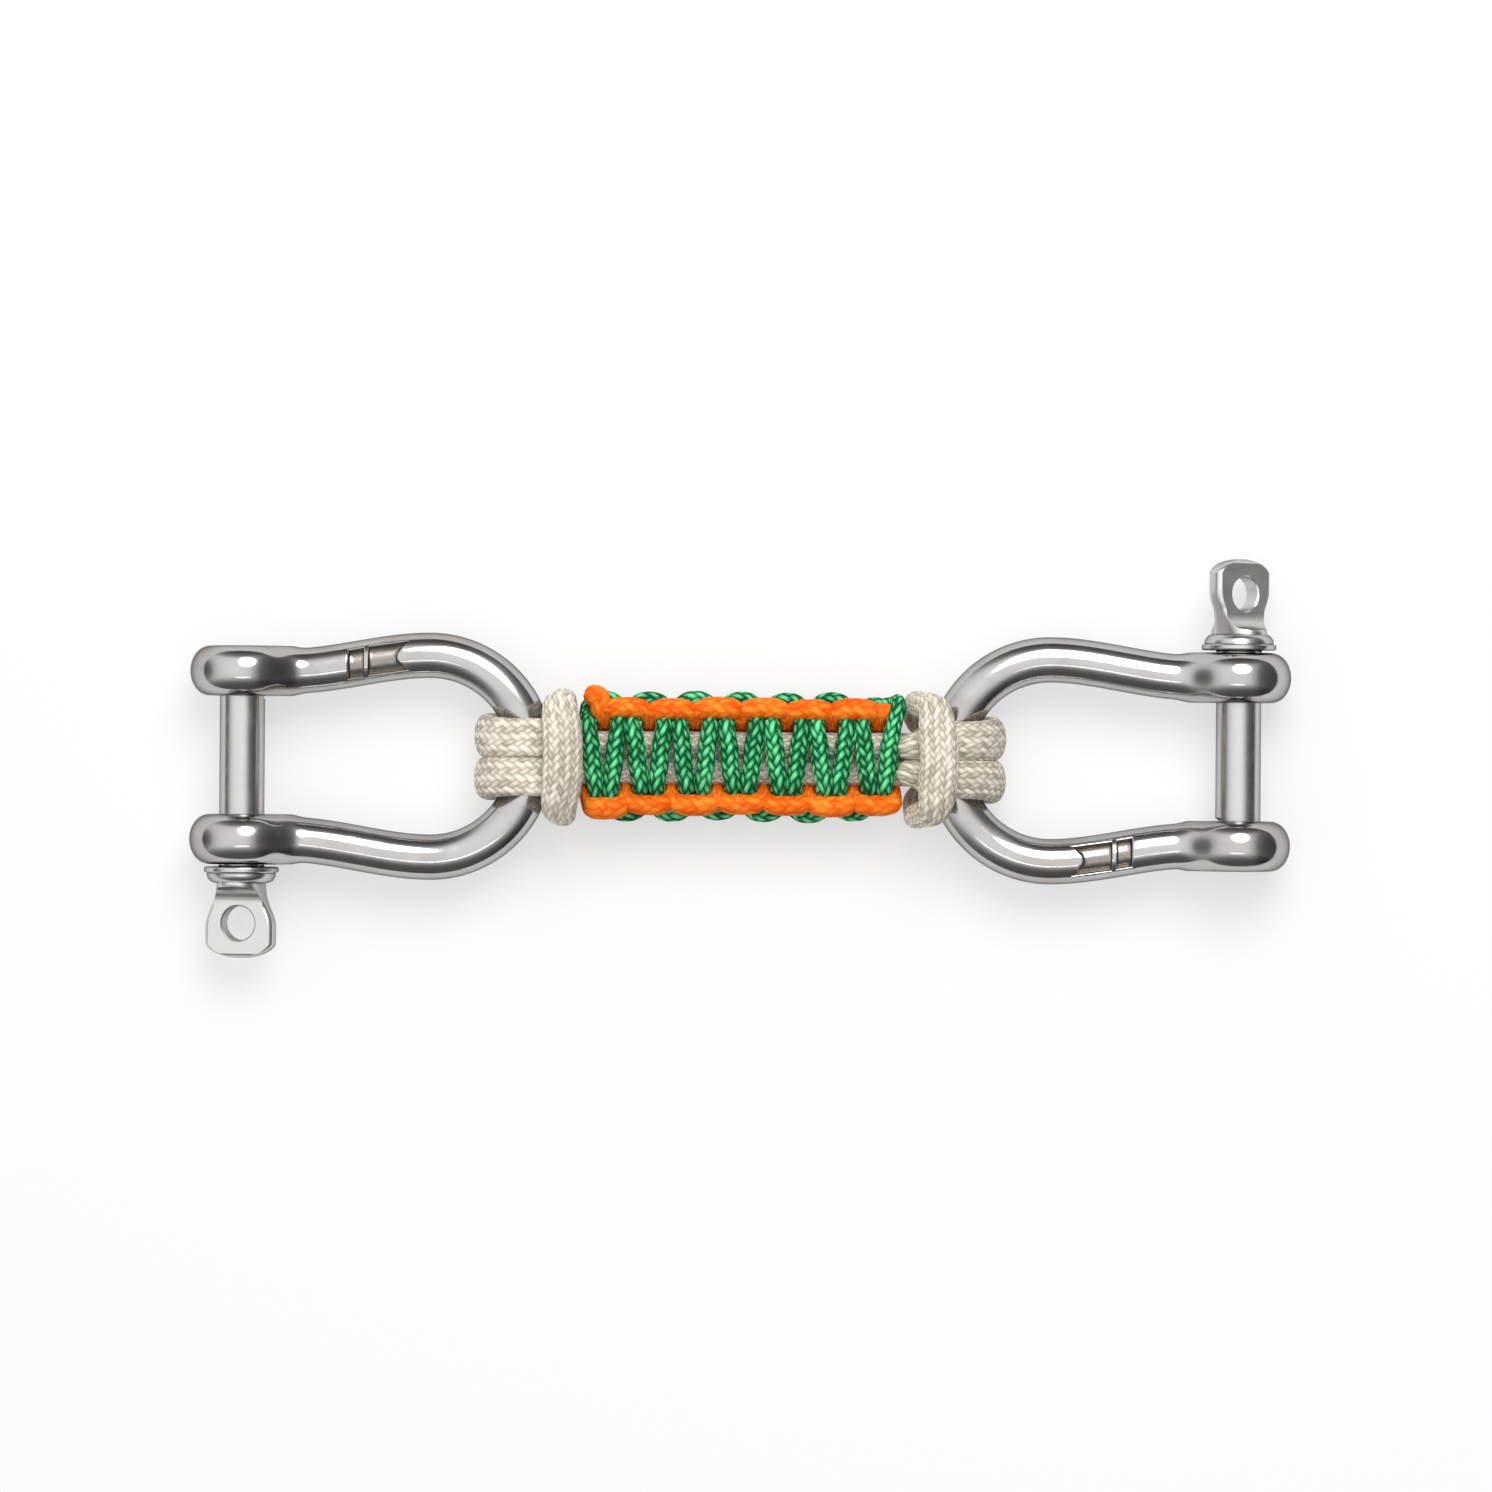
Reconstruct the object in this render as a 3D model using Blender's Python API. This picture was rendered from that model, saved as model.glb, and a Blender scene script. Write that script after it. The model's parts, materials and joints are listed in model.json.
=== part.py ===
"""Two screw-pin bow shackles joined by a short knotted cord strap.

A closed loop of pale cord is hitched round the crown of each shackle, and its two runs are the
strap's core. A green and an orange cord are knotted round that core in a row of square knots.
The frame stands on z = 0 with x along the strap and y along the shackle pins.
"""

import math

import bmesh
import bpy
import numpy as np
from mathutils import Matrix, Vector

MM = 0.001

# Shackle bow
BAR_DIAMETER = 5.0 * MM
JAW_GAP = 13.0 * MM
BOW_RADIUS = 11.1 * MM
PIN_TO_BOW_CENTRE = 20.7 * MM
LEG_STRAIGHT = 5.0 * MM
EAR_DIAMETER = 11.5 * MM
EAR_THICKNESS = 5.5 * MM
EAR_FACE_DIAMETER = 7.2 * MM

# Bare marking panel on one leg: a short and a long pocket with a rib between them
PANEL_START = 11.8 * MM
PANEL_WIDTH = 3.1 * MM
PANEL_DEPTH = 0.55 * MM
SHORT_POCKET = 1.6 * MM
PANEL_RIB = 0.6 * MM
LONG_POCKET = 4.3 * MM
POCKET_NOTCH = 1.3 * MM

# Screw pin
PIN_DIAMETER = 5.0 * MM
PIN_CLEARANCE = 0.1 * MM
PIN_TIP_CHAMFER = 0.5 * MM
COLLAR_DIAMETER = 8.2 * MM
COLLAR_THICKNESS = 1.8 * MM
NECK_WIDTH = 4.7 * MM
NECK_DEPTH = 6.6 * MM
EYE_LENGTH = 8.2 * MM
EYE_WIDTH = 7.9 * MM
EYE_THICKNESS = 2.0 * MM
EYE_HOLE = 3.8 * MM
EYE_HOLE_TO_END = 3.8 * MM
LEFT_EYE_TURN = math.radians(-15)
RIGHT_EYE_TURN = math.radians(-39)

# Pale core cord: oval where it is pulled flat in a hitch, rounder where the knots squeeze it
CORD_WIDTH = 4.1 * MM
CORD_THICKNESS = 2.5 * MM
CORE_WIDTH = 2.6 * MM
CORE_THICKNESS = 3.0 * MM
LEFT_BAND_OFFSET = 4.0 * MM
LEFT_BAND_BOW = 0.1 * MM
RIGHT_BAND_OFFSET = 2.8 * MM
RIGHT_BAND_BOW = 1.3 * MM
BAND_SIDE_WIDTH = 2.8 * MM

# Thin knotting cords
THIN_CORD = 1.6 * MM
SQUEEZE = 0.5
HALF_KNOTS = 14
ORANGE_BUMP = 1.25 * MM
GREEN_BUMP = 2.2 * MM
MELTED_END = 2.1 * MM
KNOB_STAND = 1.4 * MM
END_STAND = 0.15 * MM

# Clearances: between two pieces, and between two runs of one cord
GAP = 0.3 * MM
STRAND_GAP = 0.45 * MM

# Facets
BAR_SIDES = 16
LEG_STEPS = 9
BOW_STEPS = 16
ROUND_STEPS = 24
CORD_SIDES = 10
THIN_SIDES = 7

# Worked out from the sizes above
EAR_OFFSET = (JAW_GAP + EAR_THICKNESS) / 2
HITCH_REACH = CORD_WIDTH + STRAND_GAP / 2
BOW_SAG = BOW_RADIUS - math.sqrt(BOW_RADIUS**2 - HITCH_REACH**2)
HINGE_INSET = BOW_SAG / 2
LOOP_BORE = BAR_DIAMETER / 2 + HINGE_INSET + GAP
LOOP_RADIUS = LOOP_BORE + CORD_THICKNESS / 2
PIN_TO_HINGE = PIN_TO_BOW_CENTRE + BOW_RADIUS - HINGE_INSET
MID_HEIGHT = max(EAR_DIAMETER / 2, LOOP_RADIUS + CORD_THICKNESS / 2)
BAND_RADIUS = LOOP_RADIUS + CORD_THICKNESS + STRAND_GAP
THIN_SQUEEZED = SQUEEZE * THIN_CORD
HALF_KNOT = 2 * (THIN_SQUEEZED + STRAND_GAP)
CORE_SIDE = CORE_WIDTH + STRAND_GAP / 2
LEG_LINE = CORE_SIDE + GAP + 1.1 * THIN_SQUEEZED
FIRST_CROSSING = 0.35 * HALF_KNOT


def band_height(offset):
    """Height of the middle of a hitch's band over the hinge, where it lies on the strands."""
    return math.sqrt(BAND_RADIUS**2 - offset**2)


def hitch_length(offset, bow):
    """Distance from the hinge to where the knots start, clear of the hitch's band."""
    middle = offset + CORD_WIDTH / 2 * band_height(offset) / BAND_RADIUS
    return max(middle, offset + bow + BAND_SIDE_WIDTH / 2) + GAP


LEFT_HITCH = hitch_length(LEFT_BAND_OFFSET, LEFT_BAND_BOW)
RIGHT_HITCH = hitch_length(RIGHT_BAND_OFFSET, RIGHT_BAND_BOW)
HINGE_SPAN = LEFT_HITCH + HALF_KNOTS * HALF_KNOT + RIGHT_HITCH
LEFT_HINGE_X = -HINGE_SPAN / 2
RIGHT_HINGE_X = HINGE_SPAN / 2
FIRST_BUMP_X = LEFT_HINGE_X + LEFT_HITCH + FIRST_CROSSING - HALF_KNOT / 2


def clear_scene():
    """Remove every object of the startup scene."""
    for obj in list(bpy.data.objects):
        bpy.data.objects.remove(obj, do_unlink=True)


def make_material(name, colour, roughness, metallic):
    """A Principled material of one colour."""
    material = bpy.data.materials.new(name)
    material.use_nodes = True
    shader = material.node_tree.nodes["Principled BSDF"]
    shader.inputs["Base Color"].default_value = (*colour, 1.0)
    shader.inputs["Roughness"].default_value = roughness
    shader.inputs["Metallic"].default_value = metallic
    return material


def add_object(name, form, material=None, parent=None, location=(0, 0, 0)):
    """Turn a bmesh into a smooth-shaded object in the scene."""
    mesh = bpy.data.meshes.new(name)
    bmesh.ops.recalc_face_normals(form, faces=form.faces)
    form.to_mesh(mesh)
    form.free()
    mesh.shade_smooth()
    mesh.set_sharp_from_angle(angle=math.radians(35))
    obj = bpy.data.objects.new(name, mesh)
    obj.location = location
    obj.parent = parent
    if material:
        mesh.materials.append(material)
    bpy.context.scene.collection.objects.link(obj)
    return obj


def make_helper(obj):
    """Mark an object as a shape that only joins or cuts another."""
    obj.hide_render = True
    obj.display_type = "WIRE"
    return obj


def add_boolean(obj, helper, operation):
    """Join a helper to an object, or cut it out of it."""
    modifier = obj.modifiers.new(helper.name, "BOOLEAN")
    modifier.operation = operation
    modifier.solver = "EXACT"
    modifier.object = make_helper(helper)


def smooth_path(stations, steps, closed):
    """Points on a Catmull-Rom curve through the stations, every column interpolated alike."""
    rows = np.array(stations, float)
    count = len(rows)
    found = []
    for i in range(count if closed else count - 1):
        if closed:
            before, start, end, after = (rows[(i + k) % count] for k in (-1, 0, 1, 2))
        else:
            before, start = rows[max(i - 1, 0)], rows[i]
            end, after = rows[i + 1], rows[min(i + 2, count - 1)]
        for t in np.arange(steps) / steps:
            bend = 2 * before - 5 * start + 4 * end - after
            turn = 3 * start - before - 3 * end + after
            found.append(start + 0.5 * t * ((end - before) + t * (bend + t * turn)))
    if not closed:
        found.append(rows[-1])
    return np.array(found)


def extrude_rings(rings, closed):
    """A bmesh skin over rings of points: one ring extruded along the others, then closed."""
    form = bmesh.new()
    first = bmesh.ops.create_circle(form, segments=len(rings[0]), radius=1.0)["verts"]
    for vert, place in zip(first, rings[0]):
        vert.co = place
    edges = list(form.edges)
    start_edges = edges
    for ring in rings[1:]:
        made = bmesh.ops.extrude_edge_only(form, edges=edges)["geom"]
        verts = [item for item in made if isinstance(item, bmesh.types.BMVert)]
        new_edges = [item for item in made if isinstance(item, bmesh.types.BMEdge)]
        for vert, place in zip(verts, ring):
            vert.co = place
        ring_verts = set(verts)
        edges = [edge for edge in new_edges if set(edge.verts) <= ring_verts]
    if closed:
        bmesh.ops.bridge_loops(form, edges=start_edges + edges)
    else:
        bmesh.ops.contextual_create(form, geom=start_edges)
        bmesh.ops.contextual_create(form, geom=edges)
    return form


def tangents_of(points, closed):
    """Unit directions along a run of points."""
    if closed:
        ahead, behind = np.roll(points, -1, axis=0), np.roll(points, 1, axis=0)
    else:
        ahead = np.vstack([points[1:], points[-1:]])
        behind = np.vstack([points[:1], points[:-1]])
    along = ahead - behind
    return along / np.linalg.norm(along, axis=1)[:, None]


def oval_rings(path, closed, sides):
    """Oval sections along a path whose columns are place, normal, half width, half thickness."""
    points, normals = path[:, 0:3], path[:, 3:6]
    along = tangents_of(points, closed)
    normals = normals - (normals * along).sum(axis=1)[:, None] * along
    normals /= np.linalg.norm(normals, axis=1)[:, None]
    across = np.cross(along, normals)
    angles = 2 * np.pi * np.arange(sides) / sides
    rings = []
    for point, side, normal, half in zip(points, across, normals, path[:, 6:8]):
        offsets = np.outer(np.cos(angles) * half[0], side) + np.outer(np.sin(angles) * half[1], normal)
        rings.append(point + offsets)
    return rings


def round_rings(path, sides):
    """Round sections along a path whose columns are place and radius, with no twist between them."""
    points = path[:, 0:3]
    along = tangents_of(points, closed=False)
    normal = np.cross(along[0], (0.0, 0.0, 1.0))
    stations = []
    for point, direction, radius in zip(points, along, path[:, 3]):
        normal = normal - (normal @ direction) * direction
        normal /= np.linalg.norm(normal)
        stations.append(np.concatenate([point, normal, [radius, radius]]))
    return oval_rings(np.array(stations), False, sides)


def turned(profile, steps):
    """A solid turned round the y axis from (radius, y) points that start and end on the axis."""
    form = bmesh.new()
    verts = [form.verts.new((radius, y, 0.0)) for radius, y in profile]
    edges = [form.edges.new(pair) for pair in zip(verts, verts[1:])]
    bmesh.ops.spin(form, geom=verts + edges, axis=(0, 1, 0), cent=(0, 0, 0),
                   angle=2 * math.pi, steps=steps, use_merge=True)
    bmesh.ops.remove_doubles(form, verts=form.verts, dist=0.001 * MM)
    return form


def leg_height(x):
    """Distance of the bow's centreline from the middle, at x from the pin, along a leg."""
    t = min(max((x - LEG_STRAIGHT) / (PIN_TO_BOW_CENTRE - LEG_STRAIGHT), 0.0), 1.0)
    return EAR_OFFSET + (BOW_RADIUS - EAR_OFFSET) * t * t * (3 - 2 * t)


def bow_centreline():
    """Points of the bow from one ear to the other, with x measured from the hinge at the crown."""
    leg = [(x, leg_height(x)) for x in np.linspace(0, PIN_TO_BOW_CENTRE, LEG_STEPS, endpoint=False)]
    angles = np.linspace(math.pi / 2, -math.pi / 2, BOW_STEPS + 1)
    crown = [(PIN_TO_BOW_CENTRE + BOW_RADIUS * math.cos(a), BOW_RADIUS * math.sin(a)) for a in angles]
    other = [(x, -y) for x, y in reversed(leg)]
    return np.array([(x - PIN_TO_HINGE, y, 0.0) for x, y in leg + crown + other])


def ear_profile():
    """Half section of an ear: a flat bearing face each side and a rounded rim."""
    half, face = EAR_THICKNESS / 2, EAR_FACE_DIAMETER / 2
    swell = EAR_DIAMETER / 2 - face
    angles = np.linspace(math.pi / 2, -math.pi / 2, 9)
    rim = [(face + swell * math.cos(a), half * math.sin(a)) for a in angles]
    return [(0.0, half), *rim, (0.0, -half)]


def prism(outline, bottom, top):
    """A closed outline in x and y, extruded from one height to another."""
    form = bmesh.new()
    face = form.faces.new([form.verts.new((x, y, bottom)) for x, y in outline])
    made = bmesh.ops.extrude_face_region(form, geom=[face])["geom"]
    lifted = [item for item in made if isinstance(item, bmesh.types.BMVert)]
    bmesh.ops.translate(form, verts=lifted, vec=(0, 0, top - bottom))
    return form


def panel_outlines():
    """The two pockets of the marking panel, along x from their own start and about y = 0."""
    half = PANEL_WIDTH / 2
    long_start = SHORT_POCKET + PANEL_RIB
    long_end = long_start + LONG_POCKET
    short = [(0, -half), (SHORT_POCKET, -half), (SHORT_POCKET, half), (0, half)]
    long = [(long_start, -half), (long_end, -half), (long_end - POCKET_NOTCH, 0), (long_end, half),
            (long_start, half)]
    return short, long


def build_bow(side, hinge, material):
    """The bent bar with its two ears, the pin bores and the bare marking panel."""
    centreline = bow_centreline()
    bar_radius = np.full((len(centreline), 1), BAR_DIAMETER / 2)
    rings = round_rings(np.hstack([centreline, bar_radius]), BAR_SIDES)
    bow = add_object(f"{side}_bow", extrude_rings(rings, closed=False), material, hinge)
    panel_middle = PANEL_START + (SHORT_POCKET + PANEL_RIB + LONG_POCKET) / 2
    rise = leg_height(panel_middle + MM) - leg_height(panel_middle - MM)
    floor = BAR_DIAMETER / 2 - PANEL_DEPTH
    for number, outline in enumerate(panel_outlines(), start=1):
        pocket = add_object(f"{side}_pocket_{number}", prism(outline, floor, BAR_DIAMETER), None, hinge)
        pocket.location = (PANEL_START - PIN_TO_HINGE, leg_height(PANEL_START), 0)
        pocket.rotation_euler = (0, 0, math.atan2(rise, 2 * MM))
        add_boolean(bow, pocket, "DIFFERENCE")
    for end in (1, -1):
        place = (-PIN_TO_HINGE, end * EAR_OFFSET, 0)
        ear = add_object(f"{side}_ear_{end}", turned(ear_profile(), ROUND_STEPS), None, hinge, place)
        add_boolean(bow, ear, "UNION")
    reach = EAR_OFFSET + EAR_THICKNESS
    bore_radius = PIN_DIAMETER / 2 + PIN_CLEARANCE
    bore_profile = [(0, reach), (bore_radius, reach), (bore_radius, -reach), (0, -reach)]
    bore = add_object(f"{side}_bore", turned(bore_profile, ROUND_STEPS), None, hinge, (-PIN_TO_HINGE, 0, 0))
    add_boolean(bow, bore, "DIFFERENCE")
    return bow


def pin_profile():
    """Half section of the pin's round part: tip at +y, shank and collar."""
    shank, collar = PIN_DIAMETER / 2, COLLAR_DIAMETER / 2
    tip = EAR_OFFSET + EAR_THICKNESS / 2
    seat = -tip - GAP
    outer = seat - COLLAR_THICKNESS
    edge = COLLAR_THICKNESS * 0.3
    return [(0, tip), (shank - PIN_TIP_CHAMFER, tip), (shank, tip - PIN_TIP_CHAMFER), (shank, seat),
            (collar, seat), (collar, outer + 2 * edge), (collar - edge, outer + 0.5 * edge),
            (collar - 2 * edge, outer), (0, outer)]


def rounded_section(half_width, half_thickness, corner, y):
    """Points of a rounded rectangle across the pin's axis."""
    steps = 3
    found = []
    for turn, (sx, sz) in enumerate(((1, 1), (-1, 1), (-1, -1), (1, -1))):
        for k in range(steps + 1):
            angle = math.pi / 2 * (turn + k / steps)
            x = sx * (half_width - corner) + corner * math.cos(angle)
            z = sz * (half_thickness - corner) + corner * math.sin(angle)
            found.append((x, y, z))
    return found


def eye_sections():
    """Sections of the flat eye from its deep, narrow neck to its broad end, as a spade-shaped loft."""
    neck, depth = NECK_WIDTH / 2, NECK_DEPTH / 2
    width, plate = EYE_WIDTH / 2, EYE_THICKNESS / 2
    start = -(EAR_OFFSET + EAR_THICKNESS / 2 + GAP + COLLAR_THICKNESS)
    spread, swell = width - neck, depth - plate
    edge = plate * 0.3
    inside = -COLLAR_THICKNESS / 4 / EYE_LENGTH
    shape = [
        (inside, neck, depth, 0.95 * neck),
        (0.02, neck, depth, 0.95 * neck),
        (0.08, neck + 0.04 * spread, plate + 0.52 * swell, 0.6 * plate + 0.4 * neck),
        (0.15, neck + 0.18 * spread, plate + 0.21 * swell, plate),
        (0.23, neck + 0.35 * spread, plate + 0.05 * swell, 2 * edge),
        (0.32, neck + 0.56 * spread, plate, edge),
        (0.42, neck + 0.79 * spread, plate, edge),
        (0.53, neck + 0.95 * spread, plate, edge),
        (0.65, width, plate, edge),
        (0.81, width, plate, edge),
        (0.87, width * 0.91, plate, edge),
        (0.92, width * 0.75, plate, edge),
        (0.96, width * 0.53, plate, edge),
        (1.00, width * 0.2, plate * 0.9, edge),
    ]
    return [rounded_section(w, t, c, start - share * EYE_LENGTH) for share, w, t, c in shape]


def build_pin(side, hinge, turn, material):
    """The screw pin: round shank, collar and a flat eye with a hole, on its own axis."""
    pin = add_object(f"{side}_pin", turned(pin_profile(), ROUND_STEPS), material, hinge, (-PIN_TO_HINGE, 0, 0))
    pin.rotation_euler = (0, turn, 0)
    eye = add_object(f"{side}_eye", extrude_rings(eye_sections(), closed=False), None, pin)
    add_boolean(pin, eye, "UNION")
    eye_end = -(EAR_OFFSET + EAR_THICKNESS / 2 + GAP + COLLAR_THICKNESS + EYE_LENGTH)
    hole_form = turned([(0, EYE_THICKNESS), (EYE_HOLE / 2, EYE_THICKNESS), (EYE_HOLE / 2, -EYE_THICKNESS),
                        (0, -EYE_THICKNESS)], ROUND_STEPS)
    hole = add_object(f"{side}_eye_hole", hole_form, None, pin, (0, eye_end + EYE_HOLE_TO_END, 0))
    hole.rotation_euler = (math.pi / 2, 0, 0)
    add_boolean(pin, hole, "DIFFERENCE")
    return pin


def on_loop(angle, radius, v, half_width, half_thickness):
    """A station of the cord round the bar, at an angle from the strap's side over the front."""
    c, s = math.cos(math.radians(angle)), math.sin(math.radians(angle))
    return (radius * c, v, radius * s, c, 0.0, s, half_width, half_thickness)


def hitch_half(band_offset, band_bow):
    """Stations of half a cow hitch, from the core over the bar and round to the band's middle.

    u runs from the hinge to the strap's middle, v across the strap and w to the front.
    """
    wide, thick = CORD_WIDTH / 2, CORD_THICKNESS / 2
    core_wide, core_thick = CORE_WIDTH / 2, CORE_THICKNESS / 2
    core_v = core_wide + STRAND_GAP / 2
    loop_v = wide + STRAND_GAP / 2
    band_w = band_height(band_offset)
    lean = (band_offset / BAND_RADIUS, band_w / BAND_RADIUS)
    side_u = band_offset + band_bow
    side_v = loop_v + wide + STRAND_GAP + thick
    side_wide = BAND_SIDE_WIDTH / 2
    leave_u = hitch_length(band_offset, band_bow) - GAP
    return [
        (leave_u + CORE_THICKNESS, core_v, 0, 0, 0, 1, core_wide, core_thick),
        (leave_u, core_v, 0.1 * thick, 0.2, 0, 1, core_wide, core_thick),
        on_loop(38, LOOP_RADIUS, (core_v + loop_v) / 2, (wide + core_wide) / 2, thick),
        on_loop(70, LOOP_RADIUS, loop_v, wide, thick),
        on_loop(112, LOOP_RADIUS, loop_v, wide, thick),
        on_loop(154, LOOP_RADIUS, loop_v, wide, thick),
        on_loop(196, LOOP_RADIUS, loop_v, wide, thick),
        on_loop(236, LOOP_RADIUS, loop_v + 0.1 * wide, wide, thick),
        on_loop(272, LOOP_RADIUS, loop_v + 0.5 * wide, 0.9 * wide, thick),
        (0.7 * side_u, loop_v + 1.2 * wide, -0.88 * LOOP_RADIUS, 0.3, 0.35, -1, side_wide, thick),
        (side_u, side_v, -0.4 * LOOP_RADIUS, 0.2, 1, -0.35, side_wide, thick),
        (side_u, side_v + 0.1 * thick, 0.35 * LOOP_RADIUS, 0, 1, 0.15, side_wide, thick),
        (side_u, side_v - 0.3 * thick, 0.78 * band_w, 0.3 * lean[0], 0.8, 0.6, (side_wide + wide) / 2, thick),
        (band_offset + 0.3 * band_bow, 0.5 * side_v, 0.98 * band_w, lean[0], 0.25, lean[1], wide, thick),
        (band_offset, 0, band_w, lean[0], 0, lean[1], wide, thick),
    ]


def placed(stations, hinge_x, facing, side):
    """Hitch stations in the part's frame; side -1 mirrors them across the strap."""
    rows = np.array(stations, float)
    rows[:, [1, 4]] *= side
    rows[:, [0, 1, 3, 4]] *= facing
    rows[:, 0] += hinge_x
    rows[:, 2] += MID_HEIGHT
    return rows


def core_stations():
    """The closed loop of pale cord: out along one run, round a hitch, and back along the other."""
    left = hitch_half(LEFT_BAND_OFFSET, LEFT_BAND_BOW)
    right = hitch_half(RIGHT_BAND_OFFSET, RIGHT_BAND_BOW)
    runs = [
        placed(left, LEFT_HINGE_X, 1, 1)[::-1],
        placed(right, RIGHT_HINGE_X, -1, -1)[:-1],
        placed(right, RIGHT_HINGE_X, -1, 1)[::-1],
        placed(left, LEFT_HINGE_X, 1, -1)[:-1],
    ]
    return np.vstack(runs)


def build_core(material):
    """The pale cord as one endless tube with a hitch at each end."""
    path = smooth_path(core_stations(), 3, closed=True)
    return add_object("core_cord", extrude_rings(oval_rings(path, True, CORD_SIDES), closed=True), material)


def half_crossing(bump_stand):
    """Stations from the middle of an edge bump to the middle of the next crossing.

    Along and across are measured from the bump and the strap's middle, up is toward the crossing's
    face, and the cord is squeezed where it passes its neighbours at the edge.
    """
    full, thin = THIN_CORD / 2, THIN_SQUEEZED / 2
    face = CORE_THICKNESS / 2 + GAP + full
    bump = 0.62 * face
    reach = LEG_LINE + bump_stand
    pair = THIN_CORD + STRAND_GAP
    shoulder = (full + thin) / 2
    return [
        (0.00 * HALF_KNOT, reach, -bump, full),
        (0.44 * HALF_KNOT, reach, -0.95 * bump, full),
        (0.69 * HALF_KNOT, LEG_LINE + 0.55 * bump_stand, -0.6 * bump, 0.95 * shoulder),
        (0.75 * HALF_KNOT, LEG_LINE, 0.0, thin),
        (HALF_KNOT - pair / 2, CORE_SIDE + 0.3 * full, face - 0.3 * full, full),
        (0.55 * HALF_KNOT, 0.4 * CORE_SIDE, face, full),
    ]


def knot_path(bump_stand, front, first_edge):
    """Stations of one knotting cord over all its crossings, as x, y, z and radius rows."""
    half = half_crossing(bump_stand)
    rows = []
    for knot in range(HALF_KNOTS):
        start = FIRST_BUMP_X + knot * HALF_KNOT
        edge = first_edge * (-1) ** knot
        for along, across, up, radius in half:
            rows.append((start + along, edge * across, front * up, radius))
        for along, across, up, radius in reversed(half[1:]):
            rows.append((start + HALF_KNOT - along, -edge * across, front * up, radius))
    return np.array(rows)


def melted_end(row, way, reach, stand):
    """The last two rings of a cut cord: it swells where it was melted, then closes."""
    out = math.copysign(1.0, row[1])
    swell = MELTED_END / 2
    middle = (row[0] + 0.35 * way * swell, out * (reach + stand), 1.2 * row[2], swell)
    cap = (middle[0] + 0.4 * way * swell, middle[1] + 0.4 * out * swell, middle[2], 0.5 * swell)
    return np.array([middle, cap])


def trimmed(rows, reach, first_stand):
    """A knotting cord cut off inside its first and last bumps."""
    kept = rows[2:-1]
    first = melted_end(kept[0], -1, reach, first_stand)[::-1]
    last = melted_end(kept[-1], 1, reach, END_STAND)
    return np.vstack([first, kept, last])


def build_knotting(name, bump_stand, front, first_edge, first_stand, material):
    """One knotting cord as an unbroken tube."""
    rows = trimmed(knot_path(bump_stand, front, first_edge), LEG_LINE + bump_stand, first_stand)
    rows[:, 2] += MID_HEIGHT
    report_gap(name, rows[:, 0:3], rows[:, 3], False)
    return add_object(name, extrude_rings(round_rings(rows, THIN_SIDES), closed=False), material)


def report_gap(name, points, radii, closed):
    """Print the least gap between runs of one cord, measured between its points."""
    step = np.linalg.norm(np.diff(points, axis=0), axis=1)
    length = np.concatenate([[0.0], np.cumsum(step)])
    along = np.abs(length[:, None] - length[None, :])
    if closed:
        along = np.minimum(along, length[-1] + step[0] - along)
    apart = np.linalg.norm(points[:, None] - points[None, :], axis=2)
    clear = apart - radii[:, None] - radii[None, :]
    far = along > 2.5 * (radii[:, None] + radii[None, :])
    print(name, "least gap to itself, mm:", round(float(clear[far].min()) / MM, 3))


def build_shackle(side, hinge_x, facing, eye_turn, steel):
    """A bow and its pin, hung on an empty whose y axis is the hinge through the crown."""
    hinge = bpy.data.objects.new(f"{side}_hinge", None)
    hinge.location = (hinge_x, 0, MID_HEIGHT)
    hinge.rotation_euler = (0, 0, 0 if facing > 0 else math.pi)
    bpy.context.scene.collection.objects.link(hinge)
    build_bow(side, hinge, steel)
    build_pin(side, hinge, eye_turn, steel)


def main():
    clear_scene()
    steel = make_material("polished_steel", (0.62, 0.61, 0.60), 0.18, 1.0)
    pale = make_material("pale_cord", (0.78, 0.73, 0.65), 0.8, 0.0)
    green = make_material("green_cord", (0.02, 0.33, 0.12), 0.7, 0.0)
    orange = make_material("orange_cord", (0.95, 0.24, 0.01), 0.7, 0.0)
    build_shackle("left", LEFT_HINGE_X, 1, LEFT_EYE_TURN, steel)
    build_shackle("right", RIGHT_HINGE_X, -1, RIGHT_EYE_TURN, steel)
    build_core(pale)
    build_knotting("green_cord", GREEN_BUMP, 1, -1, END_STAND, green)
    build_knotting("orange_cord", ORANGE_BUMP, -1, 1, KNOB_STAND, orange)


main()
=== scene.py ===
"""Dresses two bow shackles on a knotted strap: steel, braided cords, a white studio and its camera."""

from __future__ import annotations

import json
import logging
import math
from collections.abc import Iterable
from dataclasses import dataclass
from enum import Enum

import bmesh
import bpy
import numpy as np
from mathutils import Matrix, Vector

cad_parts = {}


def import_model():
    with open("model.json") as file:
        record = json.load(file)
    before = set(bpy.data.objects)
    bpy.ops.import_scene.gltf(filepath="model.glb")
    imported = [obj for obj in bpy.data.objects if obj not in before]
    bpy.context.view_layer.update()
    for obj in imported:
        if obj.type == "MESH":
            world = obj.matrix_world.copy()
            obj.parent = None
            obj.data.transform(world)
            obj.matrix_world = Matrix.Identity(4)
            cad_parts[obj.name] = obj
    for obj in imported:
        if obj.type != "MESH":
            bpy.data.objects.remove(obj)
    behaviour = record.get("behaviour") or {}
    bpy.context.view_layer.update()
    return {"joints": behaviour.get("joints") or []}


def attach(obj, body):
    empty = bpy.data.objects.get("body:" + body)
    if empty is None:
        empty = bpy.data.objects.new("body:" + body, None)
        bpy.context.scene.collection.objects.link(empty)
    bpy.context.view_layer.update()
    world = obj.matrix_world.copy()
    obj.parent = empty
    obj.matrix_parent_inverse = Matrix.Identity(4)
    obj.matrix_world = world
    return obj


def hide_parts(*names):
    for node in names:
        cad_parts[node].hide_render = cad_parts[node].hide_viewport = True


MM = 0.001
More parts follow.
